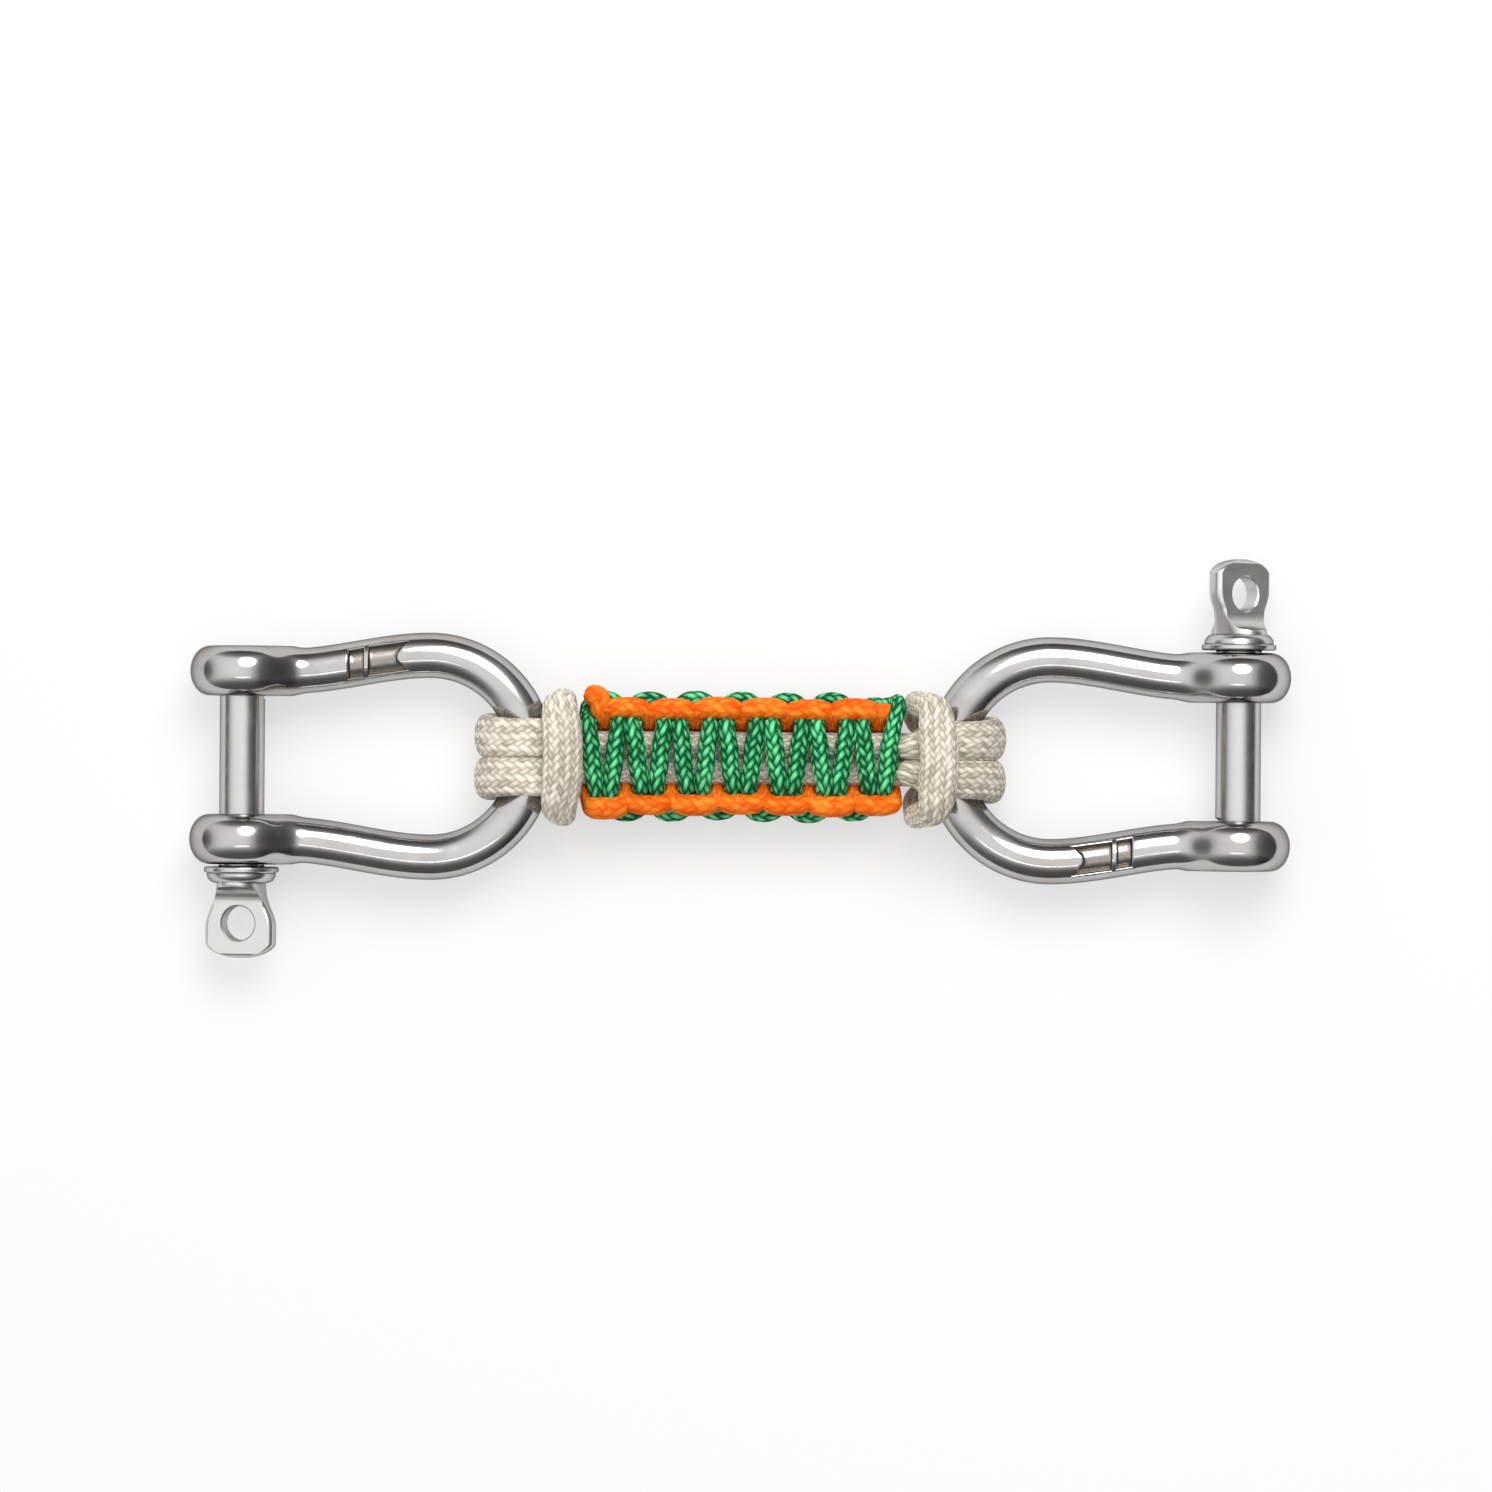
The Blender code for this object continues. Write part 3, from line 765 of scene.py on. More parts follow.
    def build(self, polished: bpy.types.Material, cast: bpy.types.Material) -> bpy.types.Object:
        """Casts, bores and marks the bow, and puts it in its place.

        Args:
            polished: The finish of its skin.
            cast: The finish that the polishing wheel didn't reach, in the recesses: unpolished cast steel,
                with its base colour darkened as painted shade.

        Returns:
            The bow.
        """
        piece = add_piece(f"{self.side.word}_bow_casting", sweep(self.rings()))
        piece.data.materials.append(polished)
        first_end = self.panel_start + self.short_pocket
        second_start = first_end + self.panel_rib
        second_end = second_start + self.long_pocket
        first = self.pocket_cutter(self.panel_start, first_end, 0.0, self.short_rims)
        cut(piece, first, Cut.REMOVE, cast)
        second = self.pocket_cutter(second_start, second_end, self.pocket_notch, self.long_rims)
        cut(piece, second, Cut.REMOVE, cast)
        cut(piece, self.bore_cutter(), Cut.REMOVE)
        piece.data.transform(self.place())
        tidy_edges(piece, self.crisp_angle)
        return piece

    def dress(self, piece: bpy.types.Object) -> None:
        """Ties the bow to its body and hides the solid that it stands for."""
        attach(piece, f"{self.side.word}_shackle")
        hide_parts(f"{self.side.word}_bow")


@dataclass
class ScrewPin:
    """A screw pin: threaded tip, plain shank, collar and a flat eye to turn it by."""

    side: Side
    bow: ShackleBow
    eye_turn: float
    diameter: float = 4.96 * MM
    reach: float = 12.0 * MM
    seat: float = -12.3 * MM
    tip_chamfer: float = 0.5 * MM
    thread_length: float = 5.6 * MM
    thread_pitch: float = 0.8 * MM
    thread_depth: float = 0.42 * MM
    collar: float = 8.2 * MM
    collar_thickness: float = 1.8 * MM
    collar_flange: float = 0.62 * MM
    neck_width: float = 4.7 * MM
    neck_depth: float = 6.6 * MM
    eye_length: float = 8.2 * MM
    eye_width: float = 7.9 * MM
    eye_thickness: float = 2.0 * MM
    flat_start: float = 2.3 * MM
    run_out: float = 1.9 * MM
    eye_hole: float = 3.8 * MM
    eye_hole_to_end: float = 3.8 * MM
    hole_chamfer: float = 0.16 * MM
    hole_over_run: float = 1.0 * MM
    tip_ease: tuple[float, float] = (0.1 * MM, 0.08 * MM)
    seat_fillet: float = 0.2 * MM
    seat_edge: float = 0.15 * MM
    lip_edge: float = 0.12 * MM
    collar_step: float = 0.28 * MM
    collar_wall: float = 0.12 * MM
    groove_root: float = 0.06 * MM
    groove_mouth: float = 0.38 * MM
    groove_over_run: float = 0.12 * MM
    neck_sink: float = 0.45 * MM
    press_depth: float = 0.06 * MM
    eye_edge: float = 0.75 * MM
    bowed_share: float = 0.19
    spread_share: float = 0.6
    thin_share: float = 0.34
    corner_limit: float = 0.96
    crisp_angle: float = 15.0
    sides: int = 64
    turned_sides: int = 96
    hole_sides: int = 64
    shank_rings: int = 32
    neck_rings: int = 42
    bowed_rings: int = 20
    collar_steps: int = 9
    thread_steps: int = 40
    run_out_steps: int = 12

    def shank(self) -> bmesh.types.BMesh:
        """The turned part of the pin, from its tip to the collar."""
        radius, collar, flange = self.diameter / 2.0, self.collar / 2.0, self.collar_flange
        seat, back = self.seat, self.seat - self.collar_thickness
        ease_in, ease_out = self.tip_ease
        top = self.reach - self.tip_chamfer - ease_out
        crown = collar - self.collar_step
        round_off = self.collar_thickness - flange - self.collar_wall
        outline = [
            (0.0, self.reach),
            (radius - self.tip_chamfer, self.reach),
            (radius - ease_in, self.reach - self.tip_chamfer + ease_in),
        ]
        outline += [(radius, float(y)) for y in np.linspace(top, seat + self.seat_fillet, self.shank_rings)]
        outline += [
            (radius + self.seat_fillet / 2.0, seat),
            (collar - self.seat_edge, seat),
            (collar - 0.04 * MM, seat - 0.05 * MM),
            (collar, seat - self.seat_edge),
            (collar, seat - flange + self.lip_edge),
            (collar - 0.06 * MM, seat - flange + 0.03 * MM),
            (crown - 0.05 * MM, seat - flange),
        ]
        for step in range(self.collar_steps + 1):
            turn = math.radians(90.0 * step / self.collar_steps)
            outline.append((
                crown - round_off * (1.0 - math.cos(turn)),
                back + round_off * (1.0 - math.sin(turn)),
            ))
        outline.append((0.0, back))
        return lathe(outline, self.turned_sides, Y_AXIS, X_AXIS)

    def thread_cutter(self) -> bmesh.types.BMesh:
        """The groove of the thread, a V wound along the tip."""
        form = bmesh.new()
        start = self.reach - self.thread_length
        root = self.diameter / 2.0 - self.thread_depth
        mouth = self.diameter / 2.0 + self.groove_over_run
        corners = [
            (root, self.groove_root),
            (mouth, self.groove_mouth),
            (mouth, -self.groove_mouth),
            (root, -self.groove_root),
        ]
        row = [form.verts.new((r, start + h, 0.0)) for r, h in corners]
        edges = [form.edges.new((row[k - 1], row[k])) for k in range(len(row))]
        turns = self.thread_length / self.thread_pitch + 1.0
        bmesh.ops.spin(
            form,
            geom=row + edges,
            cent=(0, 0, 0),
            axis=Y_AXIS,
            dvec=Vector((0, self.thread_pitch / self.thread_steps, 0)),
            angle=math.tau * turns,
            steps=round(turns * self.thread_steps),
            use_duplicate=False,
        )
        return closed_skin(form)

    def section(self, half_width: float, half_thickness: float, corner: float, y: float) -> np.ndarray:
        """A rounded rectangle across the pin's axis.

        Args:
            half_width: Half its width.
            half_thickness: Half its thickness.
            corner: Radius of its corners.
            y: Its place along the axis.

        Returns:
            Places round the section.
        """
        per_corner = self.sides // 4
        places = []
        for quarter in range(4):
            middle_x = (half_width - corner) * (1 if quarter in (0, 3) else -1)
            middle_z = (half_thickness - corner) * (1 if quarter in (0, 1) else -1)
            for step in range(per_corner):
                turn = (quarter + step / (per_corner - 1)) * math.pi / 2.0
                places.append((middle_x + corner * math.cos(turn), y, middle_z + corner * math.sin(turn)))
        return np.array(places)

    def eye(self) -> bmesh.types.BMesh:
        """The forged paddle before its flats: a deep narrow neck that thins and spreads to a bowed end."""
        neck, deep, wide = self.neck_width / 2.0, self.neck_depth / 2.0, self.eye_width / 2.0
        blank, edge, limit = self.eye_thickness / 2.0 + self.press_depth, self.eye_edge, self.corner_limit
        start = self.seat - self.collar_thickness
        rings = [self.section(neck, deep, limit * neck, start + self.neck_sink)]
        bowed, body_end = self.bowed_share, 1.0 - self.bowed_share
        body = np.linspace(0.0, body_end, self.neck_rings)
        tip = 1.0 - bowed * np.linspace(0.97, 0.0, self.bowed_rings) ** 2
        for share in np.concatenate([body, tip]):
            spread = neck + (wide - neck) * float(smooth_step(np.array((share + 0.01) / self.spread_share)))
            end = max(0.0, (share - body_end) / bowed)
            spread *= 0.1 + 0.9 * math.sqrt(1.0 - end**1.5)
            thin = float(smooth_step(np.array(share / self.thin_share)))
            lip = max(0.0, 1.0 - (1.0 - share) * self.eye_length / edge)
            thick = blank + (deep - blank) * (1.0 - thin) - edge * (1.0 - math.sqrt(1.0 - lip**2))
            corner = min(edge + (neck - edge) * (1.0 - thin), limit * thick, limit * spread)
            rings.append(self.section(spread, thick, corner, start - share * self.eye_length))
        return sweep(np.array(rings))

    def flat_cutter(self, face: int) -> bmesh.types.BMesh:
        """One of the two pressed flats, which runs out in a hollow curve toward the collar.

        Args:
            face: 1 for the upper face and -1 for the lower.

        Returns:
            What the press takes away.
        """
        plate, high, radius = self.eye_thickness / 2.0, self.neck_depth, self.run_out
        begin = self.seat - self.collar_thickness - self.flat_start
        end = begin - self.eye_length
        outline = [(end, plate)]
        for step in range(self.run_out_steps + 1):
            turn = math.radians(90.0 * step / self.run_out_steps)
            outline.append((begin + radius * math.sin(turn), plate + radius * (1.0 - math.cos(turn))))
        outline += [(begin + radius, high), (end, high)]
        form = bmesh.new()
        form.faces.new([form.verts.new((-self.eye_width, y, face * z)) for y, z in outline])
        made = bmesh.ops.extrude_face_region(form, geom=form.faces[:])["geom"]
        moved = [item for item in made if isinstance(item, bmesh.types.BMVert)]
        bmesh.ops.translate(form, vec=(2.0 * self.eye_width, 0.0, 0.0), verts=moved)
        return closed_skin(form)

    def hole_cutter(self) -> bmesh.types.BMesh:
        """The eye's hole, chamfered on both faces."""
        radius, mouth, half = self.eye_hole / 2.0, self.hole_chamfer, self.eye_thickness / 2.0
        high = half + self.hole_over_run
        upper = [(0.0, high), (radius + mouth, high), (radius + mouth, half), (radius, half - mouth)]
        outline = upper + [(r, -h) for r, h in reversed(upper)]
        form = lathe(outline, self.hole_sides, Z_AXIS, X_AXIS)
        place = self.seat - self.collar_thickness - self.eye_length + self.eye_hole_to_end
        bmesh.ops.translate(form, vec=(0, place, 0), verts=form.verts[:])
        return form

    def build(self, turned: bpy.types.Material, forged: bpy.types.Material) -> bpy.types.Object:
        """Turns, threads and forges the pin, and puts it in its bow.

        Args:
            turned: The finish of its shank and collar.
            forged: The finish of its eye.

        Returns:
            The pin.
        """
        eye = add_piece("eye_blank", self.eye())
        eye.data.materials.append(forged)
        for face in (1, -1):
            cut(eye, self.flat_cutter(face), Cut.REMOVE)
        cut(eye, self.hole_cutter(), Cut.REMOVE)
        paddle = bmesh.new()
        paddle.from_mesh(eye.data)
        bpy.data.meshes.remove(eye.data)
        piece = add_piece(f"{self.side.word}_screw_pin_forged", self.shank())
        piece.data.materials.append(turned)
        cut(piece, self.thread_cutter(), Cut.REMOVE)
        cut(piece, paddle, Cut.JOIN, forged)
        piece.data.transform(self.bow.place() @ Matrix.Rotation(self.eye_turn, 4, "Y"))
        tidy_edges(piece, self.crisp_angle)
        return piece

    def dress(self, piece: bpy.types.Object) -> None:
        """Ties the pin to its body and hides the solid that it stands for."""
        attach(piece, f"{self.side.word}_screw_pin")
        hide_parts(f"{self.side.word}_pin")


@dataclass(frozen=True)
class StrapLayout:
    """Sizes that the strap's three cords share."""

    mid_height: float = 5.75 * MM
    cord_width: float = 4.1 * MM
    cord_thickness: float = 2.5 * MM
    core_width: float = 2.6 * MM
    core_thickness: float = 3.0 * MM
    strand_gap: float = 0.45 * MM
    loop_radius: float = 4.4886 * MM
    half_knots: int = 14
    half_knot: float = 2.5 * MM
    first_bump_x: float = -17.46 * MM
    weave_shift: float = 0.2 * MM
    crossing_level: float = 2.7 * MM

    @property
    def core_side(self) -> float:
        """Distance from the strap's middle to the outer edge of the core."""
        return self.core_width + self.strand_gap / 2.0

    @property
    def band_radius(self) -> float:
        """Radius on which the hitch's band lies over its loops."""
        return self.loop_radius + self.cord_thickness + self.strand_gap


@dataclass
class CoreCord:
    """The endless pale cord, hitched round both crowns, with two runs down the strap.

    A hitch is laid out from its bar's middle: u runs toward the strap, v across it and w up.
    """

    layout: StrapLayout
    hinges: dict[Side, Vector]
    finish: BraidedCord
    band_offset: PerSide = PerSide(4.1 * MM, 1.75 * MM)
    band_bow: PerSide = PerSide(-0.4 * MM, 0.6 * MM)
    band_wider: PerSide = PerSide(0.25 * MM, 0.0)
    core_rise: PerSide = PerSide(0.2 * MM, 3.4 * MM)
    squareness: PerSide = PerSide(4.6, 2.1)
    band_side_width: float = 2.6 * MM
    side_place: float = 3.95 * MM
    side_gaps: float = 1.4
    core_start: float = 3.6 * MM
    core_lift: float = 0.95 * MM
    core_ease: float = 0.1 * MM
    core_gap: float = 0.06 * MM
    loop_gap: float = 0.04 * MM
    loop_flare: float = 0.14 * MM
    plump_width: float = 0.08 * MM
    plump_thickness: float = 0.13 * MM
    yarn_height: float = 0.05 * MM
    table_gap: float = 0.02 * MM
    spacing: float = 0.2 * MM
    sides: int = 64

    def on_loop(self, angle: float, v: float, half_width: float, square: float) -> Station:
        """A station round the bar.

        Args:
            angle: Degrees from the strap's side, over the front.
            v: Place across the strap.
            half_width: Half the cord's width there.
            square: How square its section is; 2 is an ellipse.

        Returns:
            Place, outward direction, half width, half thickness and squareness.
        """
        radius, thick = self.layout.loop_radius, self.layout.cord_thickness / 2.0
        out_u, out_w = math.cos(math.radians(angle)), math.sin(math.radians(angle))
        return (radius * out_u, v, radius * out_w, out_u, 0.0, out_w, half_width, thick, square)

    def hitch_half(self, side: Side) -> np.ndarray:
        """Stations of half a hitch, from the core over the bar and round to the band's middle.

        Args:
            side: The end of the strap.

        Returns:
            Rows of place, outward direction, half width, half thickness and squareness.
        """
        lay, square = self.layout, self.squareness.at(side)
        wide, thick = lay.cord_width / 2.0, lay.cord_thickness / 2.0
        core_wide = lay.core_width / 2.0 + self.core_ease
        core_thick = lay.core_thickness / 2.0
        core_v, loop_v = core_wide + self.core_gap, wide + self.loop_gap
        offset, bow, rise = self.band_offset.at(side), self.band_bow.at(side), self.core_rise.at(side)
        band_wide = wide + self.band_wider.at(side)
        band_w = math.sqrt(lay.band_radius**2 - offset**2)
        lean_u, lean_w = offset / lay.band_radius, band_w / lay.band_radius
        side_u, side_v = offset + bow, loop_v + wide + self.side_gaps * lay.strand_gap + thick
        back_u = self.side_place
        side_wide, loop = self.band_side_width / 2.0, lay.loop_radius
        leave_u = max(offset + wide * lean_w, side_u + side_wide)
        shoulder, flare = (side_wide + band_wide) / 2.0, self.loop_flare
        return np.array([
            (leave_u + self.core_start, core_v, 0.1 * rise, 0.1, 0.0, 1.0, core_wide, thick, 2.2),
            (leave_u + self.core_lift, core_v, 0.75 * rise, 0.45, 0.0, 1.0, core_wide, core_thick, 2.2),
            self.on_loop(42.0, (core_v + loop_v) / 2.0, (wide + core_wide) / 2.0, 2.2),
            self.on_loop(70.0, loop_v, wide, square),
            self.on_loop(112.0, loop_v, wide, square),
            self.on_loop(154.0, loop_v + flare, wide + flare, min(square, 2.8)),
            self.on_loop(196.0, loop_v + 2.0 * flare, wide + 2.0 * flare, 2.1),
            self.on_loop(236.0, loop_v + 3.0 * flare, wide + flare, 2.1),
            self.on_loop(272.0, loop_v + 3.0 * flare, 0.9 * wide, 2.1),
            (0.95 * back_u, loop_v + 1.05 * wide, -0.88 * loop, 0.3, 0.35, -1.0, side_wide, thick, 2.2),
            (back_u, side_v, -0.4 * loop, 0.2, 1.0, -0.35, side_wide, thick, 2.2),
            (back_u, side_v + 0.1 * thick, 0.35 * loop, 0.0, 1.0, 0.15, side_wide, thick, 2.2),
            (0.88 * back_u + 0.12 * side_u, side_v, 0.72 * loop, 0.1, 1.0, 0.25, side_wide, thick, 2.2),
            (side_u, side_v - 0.4 * thick, 0.85 * band_w, 0.3 * lean_u, 0.8, 0.6, shoulder, thick, 2.2),
            (offset + 0.3 * bow, 0.5 * side_v, 0.98 * band_w, lean_u, 0.25, lean_w, band_wide, thick, 2.2),
            (offset, 0.0, band_w, lean_u, 0.0, lean_w, band_wide, thick, 2.2),
        ])

    def placed(self, side: Side, across: int) -> np.ndarray:
        """Hitch stations in the part's frame.

        Args:
            side: The end of the strap.
            across: 1, or -1 for the other half.

        Returns:
            Rows as hitch_half gives them.
        """
        rows = self.hitch_half(side)
        rows[:, [1, 4]] *= across
        rows[:, [0, 1, 3, 4]] *= side.value
        rows[:, 0] += self.hinges[side].x
        rows[:, 2] += self.layout.mid_height
        return rows

    def route(self) -> np.ndarray:
        """The cord's whole loop at an even spacing."""
        stations = np.vstack([
            self.placed(Side.LEFT, 1)[::-1],
            self.placed(Side.RIGHT, -1)[:-1],
            self.placed(Side.RIGHT, 1)[::-1],
            self.placed(Side.LEFT, -1)[:-1],
        ])
        return smooth_path(stations, self.spacing, closed=True)

    def even_girth(self, wide: np.ndarray, thick: np.ndarray, power: np.ndarray) -> tuple[np.ndarray, ...]:
        """Divides the girth of each section evenly, so that its yarns keep one width.

        Args:
            wide: Half width of each section.
            thick: Half thickness of each.
            power: How round each is; 1 is an ellipse and less is squarer.

        Returns:
            Places round each section, as shares of its half width and of its half thickness.
        """
        turn = np.linspace(0.0, math.tau, GIRTH_STEPS)[None, :]
        across, upward = (np.sign(wave) * np.abs(wave) ** power for wave in (np.cos(turn), np.sin(turn)))
        steps = np.hypot(wide * np.diff(across, axis=1), thick * np.diff(upward, axis=1))
        girth = np.hstack([np.zeros_like(wide), np.cumsum(steps, axis=1)])
        share = np.linspace(0.0, 1.0, self.sides, endpoint=False)
        return tuple(
            np.array([np.interp(share * run[-1], run, row) for run, row in zip(girth, places)])
            for places in (across, upward)
        )

    def build(self) -> bpy.types.Object:
        """Lays the cord, flattened where it is pulled tight, with its braid in relief."""
        route = self.route()
        points, travel = route[:, :3], directions(route[:, :3], closed=True)
        out = route[:, 3:6] - travel * np.sum(route[:, 3:6] * travel, axis=1)[:, None]
        out /= np.linalg.norm(out, axis=1)[:, None]
        beside = np.cross(travel, out)
        half_width = route[:, 6:7] + self.plump_width
        half_thick = route[:, 7:8] + self.plump_thickness
        share = np.linspace(0.0, 1.0, self.sides, endpoint=False)[None, :]
        across, upward = self.even_girth(half_width, half_thick, 2.0 / route[:, 8:9])
        lean_side, lean_front = across / half_width, upward / half_thick
        lean = np.hypot(lean_side, lean_front)
        along = np.linspace(0.0, 1.0, len(route), endpoint=False)[:, None]
        height = (self.finish.relief(along, share) - self.finish.mean_height) * self.yarn_height
        to_side = half_width * across + height * lean_side / lean
        to_front = half_thick * upward + height * lean_front / lean
        rings = points[:, None] + to_side[..., None] * beside[:, None] + to_front[..., None] * out[:, None]
        rings[..., 2] = np.maximum(rings[..., 2], self.table_gap)
        LOG.info("pale cord: a loop of %.1f mm", path_length(points, closed=True) / MM)
        return add_piece("core_cord_braid", wrap_sheet(rings, closed=True))

    def dress(self, piece: bpy.types.Object) -> None:
        """Gives the cord its braid and ties it to the strap."""
        piece.data.materials.append(self.finish.build())
        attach(piece, "strap")
        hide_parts("core_cord")


@dataclass
class KnottingCord:
    """One of the two thin cords that are knotted over the core, crossing on one face."""

    node: str
    layout: StrapLayout
    finish: BraidedCord
    face: Face
    first_edge: int
    reach: float
    bump_radius: float
    bump_level: float
    leg_line: float
    draw_in: tuple[float, float, float]
    first_stand: float = 0.0
    big_bump: int = -1
    wrapped_bump: int = -1
    low_pair: int = -1
    leg_radius: float = 0.92 * MM
    pair_radius: float = 0.94 * MM
    middle_radius: float = 1.03 * MM
    pair_half: float = 0.83 * MM
    side_clearance: float = 0.2 * MM
    tuck_clearance: float = 1.1 * MM
    big_reach: float = 0.5 * MM
    big_swell: float = 0.12 * MM
    big_stretch: float = 0.72
    low_spread: float = 0.45 * MM
    wrap_draw: float = 0.55 * MM
    uneven_swell: float = 0.04
    uneven_reach: float = 0.1 * MM
    uneven_place: float = 0.08 * MM
    melted_end: float = 2.5 * MM
    melted_length: float = 1.3
    tail_length: float = 0.95
    yarn_height: float = 0.06 * MM
    braid_start: float = 2.0 * MM
    spacing: float = 0.16 * MM
    sides: int = 32

    def half_crossing(self, bump: int, way: int) -> list[Station]:
        """Stations from the middle of an edge bump to the middle of the next crossing.

        Args:
            bump: The bump's number along the strap.
            way: 1 for the crossing after the bump and -1 for the one before it.

        Returns:
            Rows of distance along the strap, distance from its middle, height toward the cord's face,
            radius, and how far the section is pressed flat along the strap.
        """
        lay, step = self.layout, self.layout.half_knot
        low, level, leg = self.bump_level, lay.crossing_level, self.leg_line
        side, tuck = lay.core_side + self.side_clearance, lay.core_side + self.tuck_clearance
        swell = self.bump_radius * (1.0 + self.uneven_swell * math.sin(7.3 * bump + 2.0 * self.first_edge))
        reach = self.reach + self.uneven_reach * math.sin(4.1 * bump + self.first_edge)
        stretch = self.big_stretch if bump == self.big_bump and way == -1 else 1.0
        if bump == self.big_bump:
            reach += self.big_reach
            swell += self.big_swell
        if bump + way == self.low_pair:
            side += self.low_spread
            tuck += self.low_spread
        if bump == self.wrapped_bump:
            reach -= self.wrap_draw
        near, half, far = self.draw_in
        rows = [(0.0, reach, -low, swell, 1.0), (0.3 * step, reach - near, -low, swell, 1.0)]
        if bump == self.wrapped_bump and way == 1:
            rows += [
                (0.8 * step, reach + 0.2 * MM, -0.55 * low, 0.95 * swell, 0.95),
                (0.94 * step, reach + 0.4 * MM, 0.1 * level, 0.92 * swell, 0.9),
                (0.92 * step, 0.94 * reach, 0.75 * level, 0.95 * swell, 0.95),
                (0.72 * step, side + 0.3 * MM, level, 0.97 * swell, 0.97),
            ]
        else:
            rows += [
                (0.55 * stretch * step, reach - half, -0.95 * low, 0.97 * swell, 1.0),
                (0.78 * stretch * step, reach - far, -0.68 * low, 0.93 * swell, 0.85),
                (0.91 * step, leg, -0.1 * low, self.leg_radius, 0.5),
                (step - self.pair_half, tuck, 0.34 * level, self.leg_radius, 0.95),
                (step - self.pair_half, side, level - 0.25 * MM, self.pair_radius, 1.0),
            ]
        return rows + [(0.54 * step, 0.4 * lay.core_side, level, self.middle_radius, 1.0)]

    def melted(self, row: np.ndarray, way: int, stand: float) -> np.ndarray:
        """The end of the cord where it was cut and melted.

        Args:
            row: The last station before it.
            way: 1 at the far end and -1 at the near end.
            stand: How far it stands out from the bumps; an end that does is swollen.

        Returns:
            Two stations, the outer one last.
        """
        out = math.copysign(1.0, row[1])
        swell = self.melted_end / 2.0 if stand else 0.86 * row[3]
        middle = np.array((row[0] + 0.1 * way * swell, row[1] + out * stand, 1.1 * row[2], swell, 1.0))
        length = self.melted_length if stand else self.tail_length
        return np.array([middle, middle + (length * way * swell, 0.15 * out * swell, 0.0, 0.0, 0.0)])

    def route(self) -> np.ndarray:
        """The cord's line from end to end at an even spacing, with its radius and flatness."""
        lay = self.layout
        rows = []
        for knot in range(lay.half_knots):
            for bump, way in ((knot, 1), (knot + 1, -1)):
                place = lay.first_bump_x + bump * lay.half_knot + self.uneven_place * math.sin(5.7 * bump)
                edge = self.first_edge * (-1) ** bump
                half = [
                    (place + way * a, edge * b, self.face.value * u, r, flat)
                    for a, b, u, r, flat in self.half_crossing(bump, way)
                ]
                rows += half if way == 1 else half[:0:-1]
        # Both ends of the cord are cut short of the outermost bumps.
        kept = np.array(rows)[3:-2]
        first = self.melted(kept[0], -1, self.first_stand)[::-1]
        last = self.melted(kept[-1], 1, 0.0)
        stations = np.vstack([first, kept, last])
        stations[:, 1] += lay.weave_shift
        stations[:, 2] += lay.mid_height
        return smooth_path(stations, self.spacing, closed=False)

    def build(self) -> bpy.types.Object:
        """Lays the cord through its knots, with its braid in relief and both ends rounded."""
        route = self.route()
        points, travel = route[:, :3], directions(route[:, :3], closed=False)
        out = np.zeros_like(points)
        carried = np.array((0.0, 0.0, float(self.face.value)))
        for number, way in enumerate(travel):
            carried = carried - way * np.dot(carried, way)
            carried /= np.linalg.norm(carried)
            out[number] = carried
        beside = np.cross(travel, out)
        share = np.linspace(0.0, 1.0, self.sides, endpoint=False)[None, :]
        along = np.linspace(0.0, 1.0, len(route))[:, None]
        length = path_length(points, closed=False)
        to_end = np.minimum(along, 1.0 - along) * length
        dome = np.sqrt(np.clip(1.0 - (1.0 - to_end / route[:, 3:4]) ** 2, 0.0, 1.0))
        dome = np.where(to_end < route[:, 3:4], dome, 1.0)
        relief = self.finish.relief(along, share) - self.finish.mean_height
        height = relief * self.yarn_height * smooth_step(to_end / self.braid_start - 0.4)
        radius = (route[:, 3:4] + height) * dome
        across, upward = np.cos(math.tau * share)[..., None], np.sin(math.tau * share)[..., None]
        offsets = radius[..., None] * (across * beside[:, None] + upward * out[:, None])
        offsets[..., 0] *= route[:, 4:5]
        LOG.info("%s: %.1f mm from end to end", self.node, length / MM)
        return add_piece(f"{self.node}_braid", wrap_sheet(points[:, None] + offsets, closed=False))

    def dress(self, piece: bpy.types.Object) -> None:
        """Gives the cord its braid and ties it to the strap."""
        piece.data.materials.append(self.finish.build())
        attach(piece, "strap")
        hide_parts(self.node)


@dataclass(frozen=True)
class SoftBox:
    """A flat white studio lamp, aimed at the middle of the table."""

    name: str
    place: Place
    width: float
    height: float
    power: float

    def build(self) -> None:
        """Hangs the lamp and aims it."""
        lamp = bpy.data.lights.new(self.name, "AREA")
        lamp.shape = "ELLIPSE"
        lamp.size = self.width
        lamp.size_y = self.height
        lamp.energy = self.power
        stand = bpy.data.objects.new(self.name, lamp)
        stand.location = self.place
        aim = Vector((0.0, 0.0, 0.0)) - Vector(self.place)
        stand.rotation_euler = aim.to_track_quat("-Z", "Y").to_euler()
        bpy.context.scene.collection.objects.link(stand)


